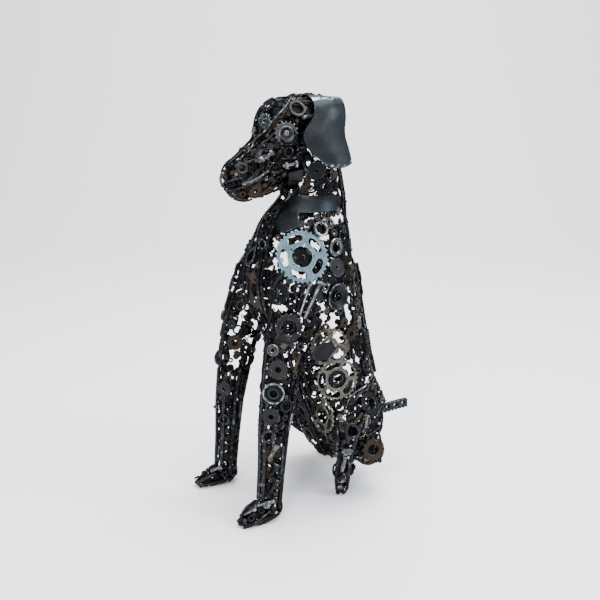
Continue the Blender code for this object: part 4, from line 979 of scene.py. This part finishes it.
def sheet(grid, thick, edge):
    """A grid of points given a thickness: front and back run on into each other round its rim."""
    run, rise = np.gradient(grid, axis=0), np.gradient(grid, axis=1)
    normal = np.cross(run, rise)
    normal /= np.linalg.norm(normal, axis=-1, keepdims=True)
    rows, columns = grid.shape[:2]
    both = np.concatenate([grid + normal * thick / 2, (grid - normal * thick / 2)[:, ::-1]], axis=1)
    wear = np.concatenate([edge, edge[:, ::-1]], axis=1)
    index = np.arange(rows * columns * 2).reshape(rows, 2 * columns)
    across = np.roll(index, -1, axis=1)
    quads = np.stack([index[:-1], across[:-1], across[1:], index[1:]], axis=-1).reshape(-1, 4)
    mates = index[:, ::-1]
    caps = [np.stack([line[:columns - 1], mate[:columns - 1], mate[1:columns], line[1:columns]], axis=-1)
            for line, mate in ((index[0], mates[0]), (index[-1], mates[-1]))]
    quads = np.concatenate([quads, caps[0], caps[1][:, ::-1]])
    flat = both.reshape(-1, 3)
    corner = np.concatenate([flat[quads[:, :3]], flat[quads[:, [0, 2, 3]]]])
    if np.einsum("ij,ij->i", corner[:, 0], np.cross(corner[:, 1], corner[:, 2])).sum() < 0:
        quads = quads[:, ::-1]
    return Shape(flat, wear.ravel().astype(float), quads, np.zeros((0, 3), int))


# rows from root to tip: x, front y, back y, z; the root lies on the skull
EAR_ROWS = [
    (0.036, -0.060, 0.006, None), (0.058, -0.062, 0.018, 1.016), (0.078, -0.064, 0.020, 1.000),
    (0.087, -0.073, 0.019, 0.972), (0.091, -0.098, 0.014, 0.941), (0.093, -0.101, 0.016, 0.920),
    (0.096, -0.085, 0.024, 0.893), (0.101, -0.046, 0.030, 0.862),
]
EAR_COLUMNS, EAR_STEP, EAR_THICKNESS = 17, 0.0035, 0.003
EAR_CLEARANCE, EAR_BULGE, EAR_TIP_DROP = 0.0046, 0.008, 0.010
# where the ears are brightened and how much: the rubbed rim, a painted sheen at the top bend and a painted
# highlight on the curled lip
RIM_SHARE, RIM_BRIGHT, LIP_FROM, LIP_HIGHLIGHT = 0.05, 0.55, 0.90, 0.68
BEND_AT, BEND_REACH, BEND_SHEEN = 0.15, 0.09, 0.85
for side, sign in (("left", 1), ("right", -1)):
    shares = np.linspace(0, 1, EAR_COLUMNS)
    arch = np.sin(math.pi * shares)
    rows = []
    for x, front, back, z in EAR_ROWS:
        across = front + shares * (back - front)
        if z is None:
            root = np.stack([np.full(EAR_COLUMNS, sign * x), across], axis=-1)
            row = dropped("top", root) + (0, 0, EAR_CLEARANCE)
        else:
            drop = EAR_TIP_DROP * arch if z == EAR_ROWS[-1][3] else 0 * arch
            row = np.stack([sign * (x + EAR_BULGE * arch), across, z - drop], axis=-1) + DOG
        rows.append(row)
    grid = smooth_path(np.stack(rows).reshape(len(rows), -1), EAR_STEP * math.sqrt(EAR_COLUMNS))
    grid = grid.reshape(-1, EAR_COLUMNS, 3)
    grid[..., 2] = np.minimum(grid[..., 2], cad_box[1][2] - EAR_THICKNESS)
    along = np.linspace(0, 1, len(grid))[:, None]
    rim = np.minimum(shares, 1 - shares)[None]
    # edge value of the ear: wear along the rim, a painted sheen at the bend and a painted highlight at the lip
    edge = np.clip(1 - rim / RIM_SHARE, 0, RIM_BRIGHT) \
        + np.clip(1.00 - abs(along - BEND_AT) / BEND_REACH, 0, BEND_SHEEN) \
        + np.clip((along - LIP_FROM) / 0.10, 0, LIP_HIGHLIGHT)
    ear = sheet(grid, EAR_THICKNESS, np.clip(edge, 0, 1))
    put_on("folded_" + side + "_ear", [ear], 0.6, "ear steel", [side + "_ear"])

COLLAR_FROM, COLLAR_TO, COLLAR_LOW, COLLAR_HIGH = math.radians(-72), math.radians(18), 0.747, 0.786
COLLAR_THICKNESS, COLLAR_CLEARANCE, COLLAR_AXIS_Y = 0.003, 0.0040, -0.020
COLLAR_COLUMNS, COLLAR_ROWS, COLLAR_ROUNDING = 40, 9, 0.12
levels = np.linspace(-1, 1, COLLAR_ROWS)
lines = []
for level in levels:
    # the strip's ends are rounded: each line stops short by its height over the middle
    trim = COLLAR_ROUNDING * (1 - math.sqrt(max(1 - level**2, 0)))
    angles = np.linspace(COLLAR_FROM + trim, COLLAR_TO - trim, COLLAR_COLUMNS)
    way = np.stack([np.cos(angles), np.sin(angles), 0 * angles], axis=-1)
    height = (COLLAR_LOW + COLLAR_HIGH) / 2 + level * (COLLAR_HIGH - COLLAR_LOW) / 2
    lines.append(let_down(np.array((0, COLLAR_AXIS_Y, height)) + DOG + DROP_FROM * way, way, COLLAR_CLEARANCE))
edge = 0.5 * np.clip(1 - (1 - abs(levels)) / 0.2, 0, 1)[:, None] + np.zeros(COLLAR_COLUMNS)
collar_grid = np.stack(lines)
collar = sheet(collar_grid, COLLAR_THICKNESS, edge)
put_on("bent_collar_plate", [collar], 0.35, "ear steel", ["collar_plate"], "dark_steel")

TAIL_HEIGHT, TAIL_THICKNESS, TAIL_LEVEL, TAIL_RISE = 0.026, 0.014, 0.158, 0.006
TAIL_TEETH, TAIL_TOOTH, TAIL_HOLES, TAIL_HOLE_SHARE, TAIL_HOLE_HALF = 11, 0.0035, 5, 0.52, 0.0058


def rack_band(along, low, high, thick, edge):
    """A strip of rack between two heights, its section an oblong with the corners taken off."""
    cut = np.minimum(0.0012, 0.3 * (high - low))
    half = np.full_like(along, thick / 2)
    section = [(-half + cut, low), (half - cut, low), (half, low + cut), (half, high - cut), (half - cut, high),
               (-half + cut, high), (-half, high - cut), (-half, low + cut)]
    points = np.stack([np.stack([x, along, z], axis=-1) for x, z in section], axis=1)
    return surface(points, edge)


along = np.linspace(tail_low.y, tail_high.y, TAIL_TEETH * 12 + 1)
share = (along - tail_low.y) / (tail_high.y - tail_low.y)
spine = TAIL_LEVEL + TAIL_RISE * np.sin(share * math.pi / 2)
crest, root = spine + TAIL_HEIGHT / 2, spine - TAIL_HEIGHT / 2
teeth = np.clip(1.8 * np.cos(share * TAIL_TEETH * 2 * math.pi), -1, 1)
openings = abs((share * TAIL_HOLES % 1) * 2 - 1) / TAIL_HOLE_SHARE
opening = TAIL_HOLE_HALF * np.sqrt(np.maximum(1 - openings**2, 0))
middle_line = spine + TAIL_TOOTH / 2
edge = np.array([0.4, 0.9, 0.6, 0.7, 1.0, 0.6, 0.6, 0.4])
upper = rack_band(along, middle_line + opening, crest, TAIL_THICKNESS, edge)
lower = rack_band(along, root + TAIL_TOOTH * (1 - teeth) / 2, middle_line - opening, TAIL_THICKNESS, edge)
put_on("rack_tail", [upper, lower], 0.4, "dark steel", ["tail_rack"])

# Loose wheels, stubs and plates
# Other scraps large enough to be told apart: wheels on the brow, muzzle and shin, lengths of
# tube and nuts stacked down the forelegs, cut plates on the neck, and one chain down the chest.

# name: steel, what it is, place on the dog, radius, thickness, hole or corners, tone
LOOSE = {
    "forehead_gear": ("dark steel", "gear", (0.015, -0.150, 0.994), 0.017, 0.006, 0.0055, 0.6),
    "muzzle_ring": ("dark steel", "ring", (0.033, -0.233, 0.855), 0.0135, 0.007, 0.0085, 0.7),
    "far_brow_bolt": ("bright steel", "nut", (-0.010, -0.172, 0.938), 0.0105, 0.008, 0.0050, 0.3),
    "neck_plate": ("dark steel", "plate", (0.046, -0.097, 0.833), 0.026, 0.004, 4, 0.5),
    "lower_neck_plate": ("dark steel", "plate", (0.045, -0.104, 0.806), 0.020, 0.004, 5, 0.3),
    "throat_plate": ("ear steel", "plate", (0.053, -0.120, 0.724), 0.036, 0.004, 5, 0.3),
    "collar_washer": ("dark steel", "ring", (0.090, -0.031, 0.718), 0.0145, 0.004, 0.0060, 0.8),
    "back_ring": ("dark steel", "ring", (0.091, 0.004, 0.685), 0.0150, 0.006, 0.0090, 0.2),
    "breast_wheel": ("dark steel", "gear", (0.121, -0.184, 0.571), 0.0260, 0.006, 0.0070, 0.4),
    "foreleg_bearing": ("bright steel", "bearing", (0.136, -0.210, 0.440), 0.0140, 0.008, 0, 0.4),
    "shin_ring": ("dark steel", "ring", (0.143, -0.228, 0.229), 0.0175, 0.008, 0.0110, 0.6),
    "paw_bolt": ("bright steel", "nut", (0.146, -0.239, 0.053), 0.0110, 0.009, 0.0050, 0.5),
    "lower_flank_sprocket": ("tan steel", "sprocket", (0.095, -0.032, 0.228), 0.0480, 0.004, 0.0220, 0.9),
    "haunch_nut": ("bright steel", "nut", (0.172, -0.021, 0.152), 0.0145, 0.009, 0.0070, 0.2),
    "far_shin_gear": ("dark steel", "gear", (-0.095, -0.227, 0.276), 0.0200, 0.006, 0.0060, 0.6),
    "far_shin_ring": ("dark steel", "ring", (-0.090, -0.236, 0.190), 0.0150, 0.006, 0.0090, 0.4),
    "far_arm_gear": ("rusty steel", "gear", (-0.085, -0.200, 0.400), 0.0210, 0.006, 0.0080, 0.5),
    "toe_bolt": ("bright steel", "nut", (0.121, -0.006, 0.030), 0.0075, 0.007, 0.0035, 0.5),
}
# what keeps the small scraps away: discs, and points with their reach
CLAIMED_DISCS, CLAIMED_POINTS = [], []
DISC_SHARE, EYE_DISC_SHARE, CLAIM_REACH = 0.97, 1.04, 0.0025


def stacked(turn, rows, ring=False):
    """A plate in rows of points round its middle: each row's radius or radii, level and edge."""
    points = [np.stack([reach * np.cos(turn), reach * np.sin(turn), np.full(len(turn), level)], axis=-1)
              for reach, level, _ in rows]
    return surface(np.stack(points), np.array([edge for _, _, edge in rows])[:, None], ring=ring)


def round_head(radius, height, sides=10):
    """A domed rivet head."""
    return turned([(radius, -height / 2, 0.2), (radius, 0, 0.6), (0.72 * radius, 0.36 * height, 0.9),
                   (0.3 * radius, height / 2, 0.7)], sides)


def plate_cut(corners, radius, thick):
    """A cut plate with this many sides, its top edge filed."""
    turn = circle_of(corners) + math.pi / corners
    return stacked(turn, [(radius, -thick / 2, 0.3), (radius, thick / 2 - 0.0006, 1.0),
                          (0.965 * radius, thick / 2, 0.9), (0.80 * radius, thick / 2, 0.0)])


def loose(kind, radius, thick, hole):
    """The shapes of one loose scrap of this kind; a plate has corners instead of a hole."""
    if kind == "gear":
        return pierced_plate(hole, toothed(radius, 14, 0.0030, 112, 1.5), thick)
    if kind == "sprocket":
        windows = [(0.71 * radius, 0.18 * radius, 5, 0.78, 0.0, 3.4)]
        return pierced_plate(hole, toothed(radius, 22, 0.0040, 176, 1.2), thick, windows)
    if kind == "ring":
        return [round_ring(hole, radius, thick, 32)]
    if kind == "bearing":
        return bearing(0.4 * radius, radius, thick, 9)
    if kind == "nut":
        return [hexagon(radius, -thick / 2, thick / 2, hole), round_head(hole * 0.96, thick + 0.004, 10)]
    return [plate_cut(hole, radius, thick)]


PLATE_WEAR, SPROCKET_LIFT, LOOSE_LIFT, LOOSE_SPIN = 0.55, 0.010, 0.001, 0.2
for name, (finish, kind, place, radius, thick, hole, tone) in LOOSE.items():
    seat_at = onto_form(np.array(place) + DOG)[0]
    facing = form_normal(seat_at)[0]
    rise = thick / 2 + (SPROCKET_LIFT if kind == "sprocket" else LOOSE_LIFT)
    parts = placed(loose(kind, radius, thick, hole), seat_at + rise * facing, facing_axes(facing, LOOSE_SPIN))
    if kind == "plate":
        parts = [part._replace(edge=part.edge * PLATE_WEAR) for part in parts]
    put_on("welded_" + name, parts, tone, finish)
    CLAIMED_DISCS.append((seat_at, facing, radius * DISC_SHARE))

# a cut plate that hides the front of the upper flank sprocket
FLANK_PLATE_RADIUS, FLANK_PLATE_THICKNESS, FLANK_PLATE_SPIN = 0.027, 0.004, 0.5
FLANK_PLATE_STRETCH, FORWARD_OF_SPROCKET = (1.25, 0.80, 1), (0, -0.030, 0.008)
middle, axes, half = seat("upper_flank_sprocket")
middle = middle + (half[2] + FLANK_PLATE_THICKNESS / 2) * axes[2] \
    + onto_form(middle + FORWARD_OF_SPROCKET)[0] - onto_form(middle)[0]
plate = plate_cut(6, FLANK_PLATE_RADIUS, FLANK_PLATE_THICKNESS)
plate = plate._replace(points=plate.points * FLANK_PLATE_STRETCH, edge=plate.edge * PLATE_WEAR)
put_on("welded_flank_plate", placed([plate], middle, facing_axes(axes[2], FLANK_PLATE_SPIN)), 0.4, "dark steel")

HEAD_SHARE = 1.5
# two ends on the dog, radius, lift over the form, steel
LONG_PIECES = {
    "second_arm_bolt": ((0.146, -0.092, 0.592), (0.152, -0.142, 0.512), 0.0042, 0.012, "bright steel"),
    "third_arm_bolt": ((0.143, -0.118, 0.590), (0.152, -0.150, 0.520), 0.0038, 0.006, "bright steel"),
    "muzzle_bolt": ((0.045, -0.170, 0.880), (0.044, -0.205, 0.872), 0.0048, 0.006, "bright steel"),
    "upper_muzzle_bolt": ((0.030, -0.172, 0.905), (0.034, -0.200, 0.888), 0.0040, 0.005, "dark steel"),
    "jaw_bolt": ((0.052, -0.165, 0.842), (0.055, -0.140, 0.852), 0.0042, 0.006, "dark steel"),
    "shin_bolt": ((0.149, -0.214, 0.262), (0.147, -0.226, 0.215), 0.0060, 0.005, "dark steel"),
    "shank_bolt": ((0.151, -0.214, 0.211), (0.143, -0.229, 0.169), 0.0068, 0.008, "tan steel"),
    "ankle_bolt": ((0.150, -0.213, 0.160), (0.145, -0.228, 0.127), 0.0065, 0.008, "dark steel"),
    "heel_bolt": ((0.149, -0.214, 0.119), (0.144, -0.233, 0.078), 0.0064, 0.008, "dark steel"),
    "paw_top_bolt": ((0.149, -0.222, 0.064), (0.134, -0.264, 0.046), 0.0052, 0.008, "bright steel"),
    "toe_rod": ((0.134, -0.262, 0.040), (0.128, -0.290, 0.028), 0.0040, 0.003, "bright steel"),
    "far_paw_bolt": ((-0.100, -0.236, 0.056), (-0.108, -0.268, 0.044), 0.0050, 0.005, "bright steel"),
    "haunch_lower_bolt": ((0.166, -0.020, 0.130), (0.140, -0.014, 0.080), 0.0045, 0.006, "bright steel"),
}
for name, (upper, lower, radius, lift, finish) in LONG_PIECES.items():
    ends = onto_form(np.array((upper, lower)) + DOG, lift)
    along, out = ends[0] - ends[1], form_normal(ends.mean(axis=0))[0]
    parts = bolt(radius, HEAD_SHARE * radius, np.linalg.norm(along))
    put_on("welded_" + name, placed(parts, ends.mean(axis=0), facing_axes(along, 0.0, out)), 0.5, finish)
    CLAIMED_POINTS.append(ends[1] + np.linspace(0, 1, 12)[:, None] * along)

for name in [*WHEELS, *RINGS, *OPEN_RINGS, "hock_gear", "left_eye_gear", "right_eye_gear"]:
    middle, axes, half = seat(name)
    CLAIMED_DISCS.append((middle, axes[2], half[0] * (EYE_DISC_SHARE if "eye" in name else DISC_SHARE)))
for name in [*BOLTS, *RODS, "flank_spring", "collar_plate", "tail_rack"]:
    CLAIMED_POINTS.append(node_points(name))
CLAIMED_POINTS.append(collar_grid.reshape(-1, 3))
for each in bars:
    CLAIMED_POINTS.append(each.points[::3])

CHEST_BAR = [(0.013, -0.176, 0.654), (0.022, -0.190, 0.610), (0.028, -0.190, 0.560), (0.031, -0.185, 0.509)]
CHAIN_PITCH, CHAIN_LIFT, LINK_RADIUS, LINK_HALF, LINK_HOLE = 0.0045, 0.003, 0.0050, 0.0035, 0.0022
chest_path = onto_form(smooth_path(np.array(CHEST_BAR) + DOG, CHAIN_PITCH), CHAIN_LIFT)
links = []
for point, out in zip(chest_path, form_normal(chest_path)):
    links += placed([hexagon(LINK_RADIUS, -LINK_HALF, LINK_HALF, LINK_HOLE)], point, facing_axes(out))
put_on("chest_chain", links, np.linspace(0, 1, len(links)), "dark steel")
CLAIMED_POINTS.append(chest_path)

# Small scraps
# Between the large pieces the skin is a dense patchwork of small scraps: gears, rings, nuts,
# washers, bolt heads, cut tube, studs and offcuts of plate, each welded to its neighbours.
SCRAP_SEED, CANDIDATES = 29, 70000
rng = np.random.default_rng(SCRAP_SEED)


def light_plate(rim, hole, thick, bevel=0.0006):
    """A plate with a round hole and this rim, in five rows of points: worn at its corners."""
    high, low = thick / 2, -thick / 2
    return stacked(circle_of(len(rim)), [(hole, low, 0.3), (hole, high, 0.7), (rim - bevel, high, 0.8),
                                         (rim, high - bevel, 1.0), (rim, low, 0.3)], ring=True)


def small_gear(radius, teeth, thick, hole):
    """A gear whose teeth are alternate high and low points, or four points each on a large one."""
    tooth = min(0.0034, 0.17 * radius)
    if radius > 0.012:
        rim = toothed(radius, teeth, tooth, teeth * 4 if teeth > 12 else teeth * 6, 1.5)
    else:
        rim = radius - tooth * (np.arange(2 * teeth) % 2)
    return light_plate(rim, hole, thick)


def offcut(radius, thick, corners):
    """A scrap of plate with uneven straight sides."""
    turn = np.sort(circle_of(corners) + rng.uniform(-0.35, 0.35, corners) * 2 * math.pi / corners)
    reach = radius * rng.uniform(0.72, 1.0, corners)
    return stacked(turn, [(reach, -thick / 2, 0.2), (reach, thick / 2 - 0.0005, 1.0),
                          (0.93 * reach, thick / 2, 0.7), (0.70 * reach, thick / 2, 0.0)])


def small_bearing(radius, thick):
    """Two races, the shield between them and the crowns of its balls."""
    wall, pitch = 0.2 * radius, 0.66 * radius
    parts = [light_plate(np.full(16, radius), radius - wall, thick),
             light_plate(np.full(12, 0.52 * radius), 0.34 * radius, thick),
             light_plate(np.full(12, radius - wall), 0.5 * radius, thick * 0.4)]
    for turn in circle_of(7):
        middle = np.array((pitch * math.cos(turn), pitch * math.sin(turn), 0.2 * thick))
        parts.append(ball(0.15 * radius, middle, 3, 5))
    return parts


def scrap(radius, solid=False):
    """One random scrap of this radius, made about the origin: its shapes and its thickness.

    The steps that pick is set against are the shares of each kind among scraps of that size.
    """
    pick = rng.random()
    if solid:
        return [offcut(radius * 1.15, 0.003, int(rng.integers(5, 8)))], 0.003
    if radius >= 0.012:
        thick = rng.uniform(0.003, 0.006)
        if pick < 0.42:
            hole = radius * rng.choice([0.28, 0.45, 0.60])
            parts = [small_gear(radius, int(rng.integers(9, 20)), thick, hole)]
        elif pick < 0.68:
            parts = [light_plate(np.full(22, radius), radius * rng.uniform(0.58, 0.78), thick * 1.2)]
        elif pick < 0.78:
            parts = [light_plate(np.full(20, radius), radius * rng.uniform(0.2, 0.4), thick * 0.7)]
        elif pick < 0.90:
            parts = small_bearing(radius, thick * 1.3)
        else:
            parts = [offcut(radius, thick * 0.7, int(rng.integers(4, 7)))]
        if pick < 0.42 and rng.random() < 0.25:
            nut = hexagon(radius * 0.42, -thick / 2, thick / 2 + 0.0035, radius * 0.2)
            parts += [nut, round_head(radius * 0.2, thick + 0.008, 8)]
    elif radius >= 0.0078:
        thick = rng.uniform(0.0035, 0.006)
        if pick < 0.26:
            parts = [small_gear(radius, int(rng.integers(8, 13)), thick, radius * rng.uniform(0.25, 0.5))]
        elif pick < 0.48:
            parts = [hexagon(radius, -thick / 2, thick / 2 + 0.001, radius * 0.52)]
        elif pick < 0.64:
            parts = [light_plate(np.full(14, radius), radius * rng.uniform(0.35, 0.7), thick * 0.6)]
        elif pick < 0.78:
            parts = [hexagon(radius, -thick / 2, thick / 2), round_head(radius * 0.55, thick + 0.003, 8)]
        elif pick < 0.88:
            parts = [light_plate(np.full(12, radius * 0.85), radius * 0.62, thick + 0.006)]
        else:
            parts = [offcut(radius, thick * 0.6, int(rng.integers(4, 6)))]
    else:
        thick = rng.uniform(0.003, 0.005)
        if pick < 0.30:
            parts = [hexagon(radius, -thick / 2, thick / 2 + 0.001, radius * 0.5)]
        elif pick < 0.50:
            parts = [hexagon(radius, -thick / 2, thick / 2)]
        elif pick < 0.66:
            parts = [ball(radius * 0.9, np.array((0, 0, 0.0)), 5, 8)]
        elif pick < 0.84:
            parts = [light_plate(np.full(10, radius), radius * 0.55, thick * 0.8)]
        else:
            parts = [round_head(radius, thick, 8)]
    return parts, thick


# candidate places: random directions round every limb's sections, let down on to the form
ON_FORM, OFF_FLOOR, DISC_DEPTH, SLICES = 0.0008, 0.002, 0.026, 14
start, run = SEGMENTS[:, 0], SEGMENTS[:, 1] - SEGMENTS[:, 0]
weight = np.linalg.norm(run[:, :3], axis=1) * SEGMENTS[..., 3].mean(axis=1) * (1 + SEGMENTS[..., 4].mean(axis=1))
weight += 3 * SEGMENTS[..., 3].max(axis=1) ** 2
chosen = rng.choice(len(SEGMENTS), CANDIDATES, p=weight / weight.sum())
at = rng.uniform(-0.3, 1.3, CANDIDATES).clip(0, 1)[:, None]
way = rng.normal(size=(CANDIDATES, 3))
way /= np.linalg.norm(way, axis=1, keepdims=True)
section = start[chosen] + at * run[chosen]
way[:, 0] *= section[:, 4]
places = section[:, :3] + way * section[:, 3:4] + DOG
places = np.concatenate([onto_form(part) for part in np.array_split(places, SLICES)])
places = places[(abs(form_distance(places)) < ON_FORM) & (places[:, 2] > OFF_FLOOR)]
normals, regions = (np.concatenate([of_form(part) for part in np.array_split(places, SLICES)])
                    for of_form in (form_normal, region_of))
away, section = segment_distances(places)
nearest = np.argmin(away, axis=1)
girth = np.take_along_axis(section[..., 3] * np.minimum(1, section[..., 4]), nearest[:, None], axis=1)[:, 0]

# room left at each place: first what the large pieces and the outline bars take
taken = KDTree(sum(len(each) for each in CLAIMED_POINTS))
for index, point in enumerate(np.concatenate(CLAIMED_POINTS)):
    taken.insert(point, index)
taken.balance()
room = np.array([taken.find(place)[2] for place in places]) - CLAIM_REACH
for middle, facing, radius in CLAIMED_DISCS:
    offset = places - middle
    height = offset @ facing
    flat = np.linalg.norm(offset - height[:, None] * facing, axis=1)
    room = np.where(abs(height) < DISC_DEPTH, np.minimum(room, flat - radius), room)


# node: how far out its windows are, how many it has, which of them are clear
CLEAR_WINDOWS = {
    "shoulder_sprocket": (0.045, 5, (0, 2, 3)),
    "upper_flank_sprocket": (0.032, 4, (0, 3)),
    "middle_flank_sprocket": (0.040, 5, (0, 1, 3)),
}
windows = []
for name, (out, count, clear) in CLEAR_WINDOWS.items():
    middle, axes, half = seat(name)
    for turn in np.add.outer(clear, (0.30, 0.5, 0.70)).ravel() * 2 * math.pi / count:
        windows.append(middle + out * (math.cos(turn) * axes[0] + math.sin(turn) * axes[1]))


def beside_gaps(count, low, high):
    """How far each place is from the see-through gaps: lines of sight through the skin or a window."""
    beside = np.full(len(places), np.inf)
    stand = np.array(camera.location)
    toward = (stand - places) / np.linalg.norm(stand - places, axis=1, keepdims=True)
    faces_it = (normals * toward).sum(axis=1) > GAP_FACING
    able = np.flatnonzero(np.isin(regions, GAP_REGIONS) & faces_it & (room > LEAST_ROOM))
    for middle in [*places[rng.choice(able, count, replace=False)], *windows]:
        sight_line = (middle - stand) / np.linalg.norm(middle - stand)
        offset = places - stand
        off = np.linalg.norm(offset - (offset @ sight_line)[:, None] * sight_line, axis=1)
        beside = np.minimum(beside, off - rng.uniform(low, high))
    return beside


def spend(pick, radius):
    """Takes the room of one scrap away from the places round it."""
    global room
    room = np.minimum(room, np.linalg.norm(places - places[pick], axis=1) - radius)


def fill(mixture, most, able):
    """Sets scraps of mixed sizes down, each as near to its neighbours as it will go."""
    found = []
    radii, shares = np.array(mixture).T
    for radius in rng.choice(radii, most, p=shares / shares.sum()):
        ready = np.flatnonzero(able & (room >= 0.95 * radius) & (girth * GIRTH_SHARE >= radius))
        if len(ready):
            tight = ready[room[ready] < 1.15 * radius]
            pick = rng.choice(tight if len(tight) else ready)
            found.append((pick, radius))
            spend(pick, radius)
    return found


def stick(pick, length, radius):
    """A bolt, rod or flat bar laid along its limb over this place, if nothing large is in its way."""
    limb = run[nearest[pick], :3] / np.linalg.norm(run[nearest[pick], :3])
    along = limb - (limb @ normals[pick]) * normals[pick] + rng.normal(0, STICK_SKEW, 3)
    along /= np.linalg.norm(along)
    path = onto_form(places[pick] + np.linspace(-0.5, 0.5, 9)[:, None] * length * along, radius * 0.8)
    off = np.linalg.norm(places[:, None] - path, axis=-1).min(axis=1)
    near = room[off < STICK_REACH]
    if (len(near) and (near < 0).mean() > STICK_OVERLAP) or (room[off < LEAST_ROOM] < -STICK_DEPTH).any():
        return None, off
    kind = rng.random()
    if kind < 0.55:
        parts = [bar(path, form_normal(path), 2 * radius, 2 * radius, 6)]
    elif kind < 0.75:
        parts = [bar(path, form_normal(path), 2.6 * radius, 1.3 * radius, 8, 4.0)]
    else:
        end = path[-1] - path[0]
        parts = [hexagon(1.8 * radius, 0.5 * length - 1.6 * radius, 0.5 * length),
                 threaded(radius, -0.5 * length, 0.5 * length - 1.6 * radius, 0.0026, 7)]
        middle = path.mean(axis=0) + 0.3 * radius * normals[pick]
        parts = placed(parts, middle, facing_axes(end, 0.0, normals[pick]))
    return parts, off


GAP_REGIONS = ["neck", "chest", "left_flank", "right_flank", "back", "left_foreleg", "right_foreleg"]
GAPS, GAP_RADII, GAP_FACING = 100, (0.0020, 0.0080), 0.45
LEAST_ROOM, GIRTH_SHARE, PAW_TOP, SHANK_TOP = 0.004, 0.62, 0.055, 0.27
STICKS, STICK_LENGTHS, STICK_RADII = 900, (0.022, 0.060), (0.0022, 0.0042)
STICK_SKEW, STICK_REACH, STICK_OVERLAP, STICK_DEPTH, STICK_HALF = 0.22, 0.005, 0.20, 0.006, 0.0035
# radii and shares of the scraps: on the open body, on head and legs, in what is left, and inside
OPEN_MIX = [(0.0260, 0.08), (0.0210, 0.14), (0.0170, 0.20), (0.0138, 0.22), (0.0110, 0.20), (0.0090, 0.16)]
DENSE_MIX = [(0.0150, 0.06), (0.0120, 0.12), (0.0092, 0.22), (0.0072, 0.28), (0.0052, 0.32)]
SMALL_MIX = [(0.0070, 0.5), (0.0052, 0.5)]
INNER_MIX = [(0.0150, 0.3), (0.0110, 0.4), (0.0085, 0.3)]
SKIN_LEVEL = -0.003
head = np.isin(regions, ("skull", "muzzle"))
dense = head | np.isin(regions, ("left_hind_leg", "right_hind_leg")) | (places[:, 2] < PAW_TOP)
dense |= np.isin(regions, ("left_foreleg", "right_foreleg")) & (places[:, 2] < SHANK_TOP)
see_through = np.where(dense, np.inf, beside_gaps(GAPS, *GAP_RADII))
room = np.minimum(see_through, room)
chosen = fill(OPEN_MIX, 520, ~dense)
pieces = []
for pick in rng.choice(len(places), STICKS):
    if room[pick] < LEAST_ROOM:
        continue
    parts, off = stick(pick, rng.uniform(*STICK_LENGTHS), rng.uniform(*STICK_RADII))
    if parts:
        room = np.minimum(room, off - STICK_HALF)
        pieces.append((regions[pick], parts, rng.random(), places[pick]))
for mixture, most, able in ((OPEN_MIX, 1400, ~dense), (SMALL_MIX, 420, ~dense), (DENSE_MIX, 2600, dense)):
    chosen += fill(mixture, most, able)
layers = [(pick, radius, SKIN_LEVEL) for pick, radius in chosen]
# deeper layers that keep the daylight out: level, tries, where
for level, most, able in ((-0.012, 1500, dense), (-0.018, 700, head), (-0.023, 500, head), (-0.016, 800, ~dense)):
    room = np.minimum(see_through, girth)
    layers += [(pick, radius, level) for pick, radius in fill(INNER_MIX, most, able)]

SHARES = {"dark steel": 0.74, "rusty steel": 0.13, "bright steel": 0.05, "tan steel": 0.03, "ear steel": 0.05}
WEAR, LEAN, BEDDING = (0.15, 0.90), 0.09, (-0.0012, 0.0016)
SOLID_INSIDE, BEAD_SHARE, BEAD_RADII, BEAD_LIFT, NEAR = 0.6, 0.45, (0.0013, 0.0022), 0.0006, 1.12
JAW_TOP, RUSTY_JAW = 0.815, 0.4
beads = KDTree(len(chosen))
for index, (pick, radius) in enumerate(chosen):
    beads.insert(places[pick], index)
beads.balance()
for pick, radius, level in layers:
    inside = level < SKIN_LEVEL
    parts, thick = scrap(radius, inside and (bool(dense[pick]) or rng.random() < SOLID_INSIDE))
    wear = rng.uniform(*WEAR) * min(1, 0.45 + radius / 0.030)
    parts = [part._replace(edge=part.edge * wear) for part in parts]
    axes = facing_axes(normals[pick] + rng.normal(0, LEAN, 3), rng.uniform(0, 2 * math.pi))
    parts = placed(parts, places[pick] + (thick / 2 + level + rng.uniform(*BEDDING)) * normals[pick], axes)
    if not inside:
        for point, index, distance in beads.find_n(places[pick], 4)[1:]:
            reach = radius + chosen[index][1]
            if distance < NEAR * reach and rng.random() < BEAD_SHARE:
                bead = places[pick] + (np.array(point) - places[pick]) * radius / reach
                parts.append(ball(rng.uniform(*BEAD_RADII), bead + BEAD_LIFT * normals[pick], 3, 5))
    pieces.append((regions[pick], parts, rng.random(), places[pick]))

gathered = {region: ([], [], []) for region in sorted(set(regions))}
finish_names = list(SHARES)
for region, parts, tone, place in pieces:
    finish = finish_names[rng.choice(len(SHARES), p=list(SHARES.values()))]
    if region == "muzzle" and place[2] < JAW_TOP and rng.random() < RUSTY_JAW:
        finish = "rusty steel"
    low = np.min([part.points.min(axis=0) for part in parts], axis=0)
    high = np.max([part.points.max(axis=0) for part in parts], axis=0)
    inward = np.maximum(box_low - low, 0) - np.maximum(high - box_high, 0)
    shapes, tones, steels = gathered[region]
    for part in parts:
        shapes.append(part._replace(points=part.points + inward))
        tones.append(tone)
        steels.append(finish)
for region, (shapes, tones, steels) in gathered.items():
    put_on(region + "_scraps", shapes, tones, steels, [region + "_scrap"], "scrap_steel")
